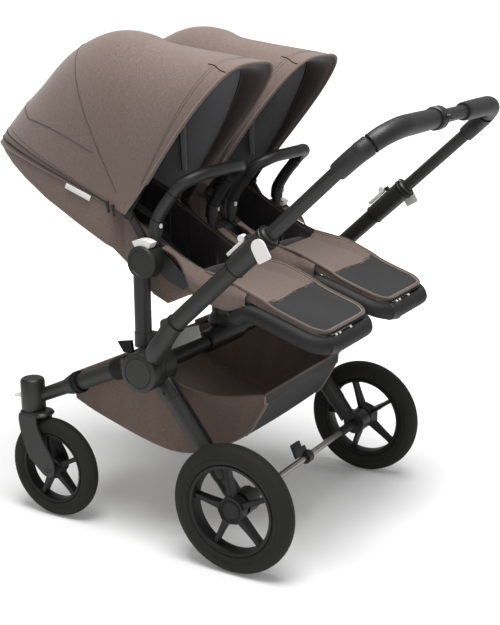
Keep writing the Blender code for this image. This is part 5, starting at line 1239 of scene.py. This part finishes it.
def build_footrest(side, sign):
    """The padded loop, the calf panel with piping round it, and its straps and rivets."""
    centre, body = sign * SEAT_X, f"seat_{side}"
    offset = RAIL + 0.002
    half = [at(offset, point) for point in FOOTREST_LINE[:-1]]
    half[0].x = RAIL
    turn_start, end = at(0, FOOTREST_LINE[-2]), at(0, FOOTREST_LINE[-1])
    for step in range(1, 7):
        angle = pi / 2 * step / 6
        point = turn_start.lerp(end, sin(angle))
        point.x = offset - FOOTREST_CORNER * (1 - cos(angle))
        half.append(point)
    half.append(end)
    whole = half + flipped(half[-2::-1], -1)
    path = smooth_path([point + Vector((centre, 0, 0)) for point in whole], 5)
    loop = piece(f"footrest_sleeve_{side}", tube(Shape(), path, FOOTREST_RADIUS, 28), body,
                 "sleeve", 60, [f"footrest_tube_{side}"])
    panel = slab(Shape(), panel_outline(), 0.005, panel_place(centre, 0.0025), 0.0012)
    piece(f"calf_panel_{side}", panel, body, "vinyl", 50, [f"footrest_panel_{side}"])
    build_calf(side, sign)
    rivets, wraps = Shape(), Shape()
    place = panel_place(centre, 0.0015)
    out = (place.to_3x3() @ Vector((0.4, 0, 1))).normalized()
    for across in RIVETS_ACROSS:
        lathe(rivets, RIVET, place @ Vector((PANEL_LENGTH + 0.0052, across, 0)), out, 16)
    piece(f"footrest_rivets_{side}", rivets, body, "white")
    for share, wide in WRAPS:
        middle = round(len(path) * share)
        lathe(wraps, band(FOOTREST_RADIUS - 0.0002, FOOTREST_RADIUS + 0.001, wide / 2, 0.001),
              path[middle], heading(path, middle), 36)
    piece(f"footrest_wraps_{side}", wraps, body, "plastic")


# Basket

# From front to back, as (y, half widths of floor and rim, heights of floor and rim)
BASKET_ROWS = [
    (-0.5057, 0.25, 0.262, 0.293, 0.351), (-0.45, 0.253, 0.264, 0.27, 0.366),
    (-0.38, 0.252, 0.265, 0.245, 0.382), (-0.31, 0.25, 0.265, 0.222, 0.394),
    (-0.24, 0.244, 0.264, 0.204, 0.398), (-0.18, 0.232, 0.256, 0.204, 0.38),
    (-0.12, 0.214, 0.238, 0.224, 0.364), (-0.062, 0.19, 0.214, 0.258, 0.364),
    (-0.03, 0.187, 0.2, 0.305, 0.368), (-0.008, 0.184, 0.19, 0.345, 0.37)]
BASKET_CORNER = 0.02
BASKET_CLOTH = 0.0025
# The row where the dark rear panel starts, and the point of a row where its floor starts
REAR_PANEL, FLOOR_FROM = 42, 15


def basket_outline(row, inset):
    """A row from rim to rim, down over the floor, as (across, height), with a small ripple."""
    y, floor_half, rim_half, floor, rim = row
    tall = rim - floor
    half = []
    for share in shares(12):
        wide = rim_half + (floor_half - rim_half) * share ** 1.4
        sag = sin(pi * share) * 0.006
        ripple = sin(y * 95 + share * 2.2) * sin(pi * share) * 0.0022
        half.append((wide - inset + ripple - sag * 0.3, rim - tall * share * 0.94))
    for k in range(1, 6):
        angle = pi / 2 * k / 5
        half.append((floor_half - inset - BASKET_CORNER * (1 - cos(angle)),
                     floor + tall * 0.06 * (1 - sin(angle)) + inset))
    for share in shares(4)[1:]:
        half.append(((floor_half - BASKET_CORNER) * (1 - share),
                     floor + inset - 0.003 * sin(pi * share / 2) * min(1, tall / 0.1)))
    return half + [(-u, v) for u, v in reversed(half[:-1])]


def build_basket():
    """The sagging cloth basket with its bound rim, darker rear panel and corner straps."""
    rows = eased_rows(BASKET_ROWS, 6)
    outer = [[Vector((u, row[0], v)) for u, v in basket_outline(row, 0.0)] for row in rows]
    inner = [[Vector((u, row[0], v)) for u, v in basket_outline(row, BASKET_CLOTH)] for row in rows]
    for wall, step in ((inner[0], BASKET_CLOTH), (inner[-1], -BASKET_CLOTH)):
        for point in wall:
            point.y += step
    ends = outer[REAR_PANEL:]
    shape = Shape()
    shape.grid(outer[:REAR_PANEL + 1])
    shape.grid([row[:FLOOR_FROM + 1] for row in ends])
    shape.grid([row[FLOOR_FROM:-FLOOR_FROM] for row in ends], slot=1)
    shape.grid([row[-FLOOR_FROM - 1:] for row in ends])
    shape.grid(inner)
    for edge in (0, -1):
        shape.grid([[a[edge] for a in outer], [b[edge] for b in inner]])
    for slot, wall, other in ((0, outer[0], inner[0]), (1, outer[-1], inner[-1])):
        middle = len(wall) // 2
        for line in (wall, other):
            shape.grid([line[:middle + 1], line[middle:][::-1]], slot=slot)
        shape.grid([[wall[0], wall[-1]], [other[0], other[-1]]])
    basket = piece("basket_cloth", shape, "chassis", ["basket_cloth", "vinyl"], 60, ["basket"])
    rim, corners = Shape(), Shape()
    for edge in (0, -1):
        tube(rim, [row[edge] + Vector((0, 0, 0.0005)) for row in outer], 0.003, 8)
    for wall in (outer[0], outer[-1]):
        tube(rim, [wall[0].lerp(wall[-1], share) for share in shares(10)], 0.003, 8)
    piece("basket_piping", rim, "chassis", "piping")
    for edge, wall in ((FLOOR_FROM, outer[-1][:FLOOR_FROM + 1]),
                       (-FLOOR_FROM - 1, outer[-1][-FLOOR_FROM - 1:][::-1])):
        tube(corners, [row[edge] for row in ends] + wall[::-1][2::2], 0.003, 8)
    piece("basket_corner_piping", corners, "chassis", "piping_light")


# Floor, light and camera

FLOOR_HALF = 30.0
# Each lamp's place, size and power; both face the middle of the stroller
LAMPS = {"key": ((0.5, 0.4, 3.6), 2.2, 162), "fill": ((3.4, 1.6, 1.6), 2.2, 14)}
LAMP_TARGET = Vector((0, 0, 0.5))
WHITE = (1, 1, 1, 1)
CAMERA_LENS = 67.46
CAMERA_PLACE = Vector((2.3812, 1.2472, 1.2559))
CAMERA_AXES = [Vector((-0.50622, 0.86238, -0.00624)), Vector((-0.23039, -0.12826, 0.96461)),
               Vector((0.83106, 0.48974, 0.26361))]


def added(name, data):
    """A new object of the scene."""
    obj = bpy.data.objects.new(name, data)
    bpy.context.scene.collection.objects.link(obj)
    return obj


def build_floor():
    """A pale floor that glows towards its far parts, so that it runs into the white behind it."""
    mesh = bpy.data.meshes.new("floor")
    mesh.from_pydata([(x * FLOOR_HALF, y * FLOOR_HALF, 0)
                      for x, y in ((-1, -1), (1, -1), (1, 1), (-1, 1))], [], [(0, 1, 2, 3)])
    material, tree, shader = blank("floor")
    fill(shader, Base_Color=(0.93, 0.93, 0.93, 1), Roughness=0.9, Specular_IOR_Level=0.1)
    place = node(tree, "ShaderNodeTexCoord").outputs["Object"]
    away = node(tree, "ShaderNodeVectorMath", place, operation="LENGTH").outputs["Value"]
    brighter = node(tree, "ShaderNodeMapRange", away, From_Min=1.0, From_Max=2.6, To_Min=0.06,
                    To_Max=0.9).outputs["Result"]
    sight = node(tree, "ShaderNodeLightPath").outputs["Is Camera Ray"]
    faint = node(tree, "ShaderNodeMath", sight, brighter, operation="MULTIPLY").outputs[0]
    glow = node(tree, "ShaderNodeEmission", Strength=faint).outputs["Emission"]
    both = node(tree, "ShaderNodeAddShader", shader.outputs["BSDF"], glow).outputs["Shader"]
    fill(tree.nodes["Material Output"], Surface=both)
    mesh.materials.append(material)
    added("floor", mesh)


def build_world():
    """A white background that lights the stroller less than it shows behind it."""
    world = bpy.data.worlds.new("studio")
    bpy.context.scene.world = world
    world.use_nodes = True
    tree = world.node_tree
    lit = fill(tree.nodes["Background"], Color=WHITE, Strength=0.42).outputs["Background"]
    seen = node(tree, "ShaderNodeBackground", Color=WHITE, Strength=1.0).outputs["Background"]
    sight = node(tree, "ShaderNodeLightPath").outputs["Is Camera Ray"]
    mix = node(tree, "ShaderNodeMixShader", sight, lit, seen).outputs["Shader"]
    fill(tree.nodes["World Output"], Surface=mix)


def build_lamps():
    for name, (place, size, power) in LAMPS.items():
        data = bpy.data.lights.new(name, "AREA")
        data.size = size
        data.energy = power
        lamp = added(name, data)
        lamp.location = place
        lamp.rotation_euler = (LAMP_TARGET - lamp.location).to_track_quat("-Z", "Y").to_euler()


def build_camera():
    data = bpy.data.cameras.new("camera")
    data.sensor_fit = "VERTICAL"
    data.sensor_height = 36
    data.lens = CAMERA_LENS
    camera = added("camera", data)
    camera.matrix_world = basis(*CAMERA_AXES, CAMERA_PLACE + Vector((0, SHIFT, 0)))
    bpy.context.scene.camera = camera


dress_frame()
build_wheels()
build_handle()
build_chassis_trim()
build_basket()
for side, sign in SIDES.items():
    build_shell(side, sign)
    build_inlay(side, sign)
    build_footrest(side, sign)
    build_flaps(side, sign)
    build_bumper(side, sign)
    build_canopy(side, sign)
build_floor()
build_world()
build_lamps()
build_camera()
bpy.context.scene.view_settings.view_transform = "Standard"
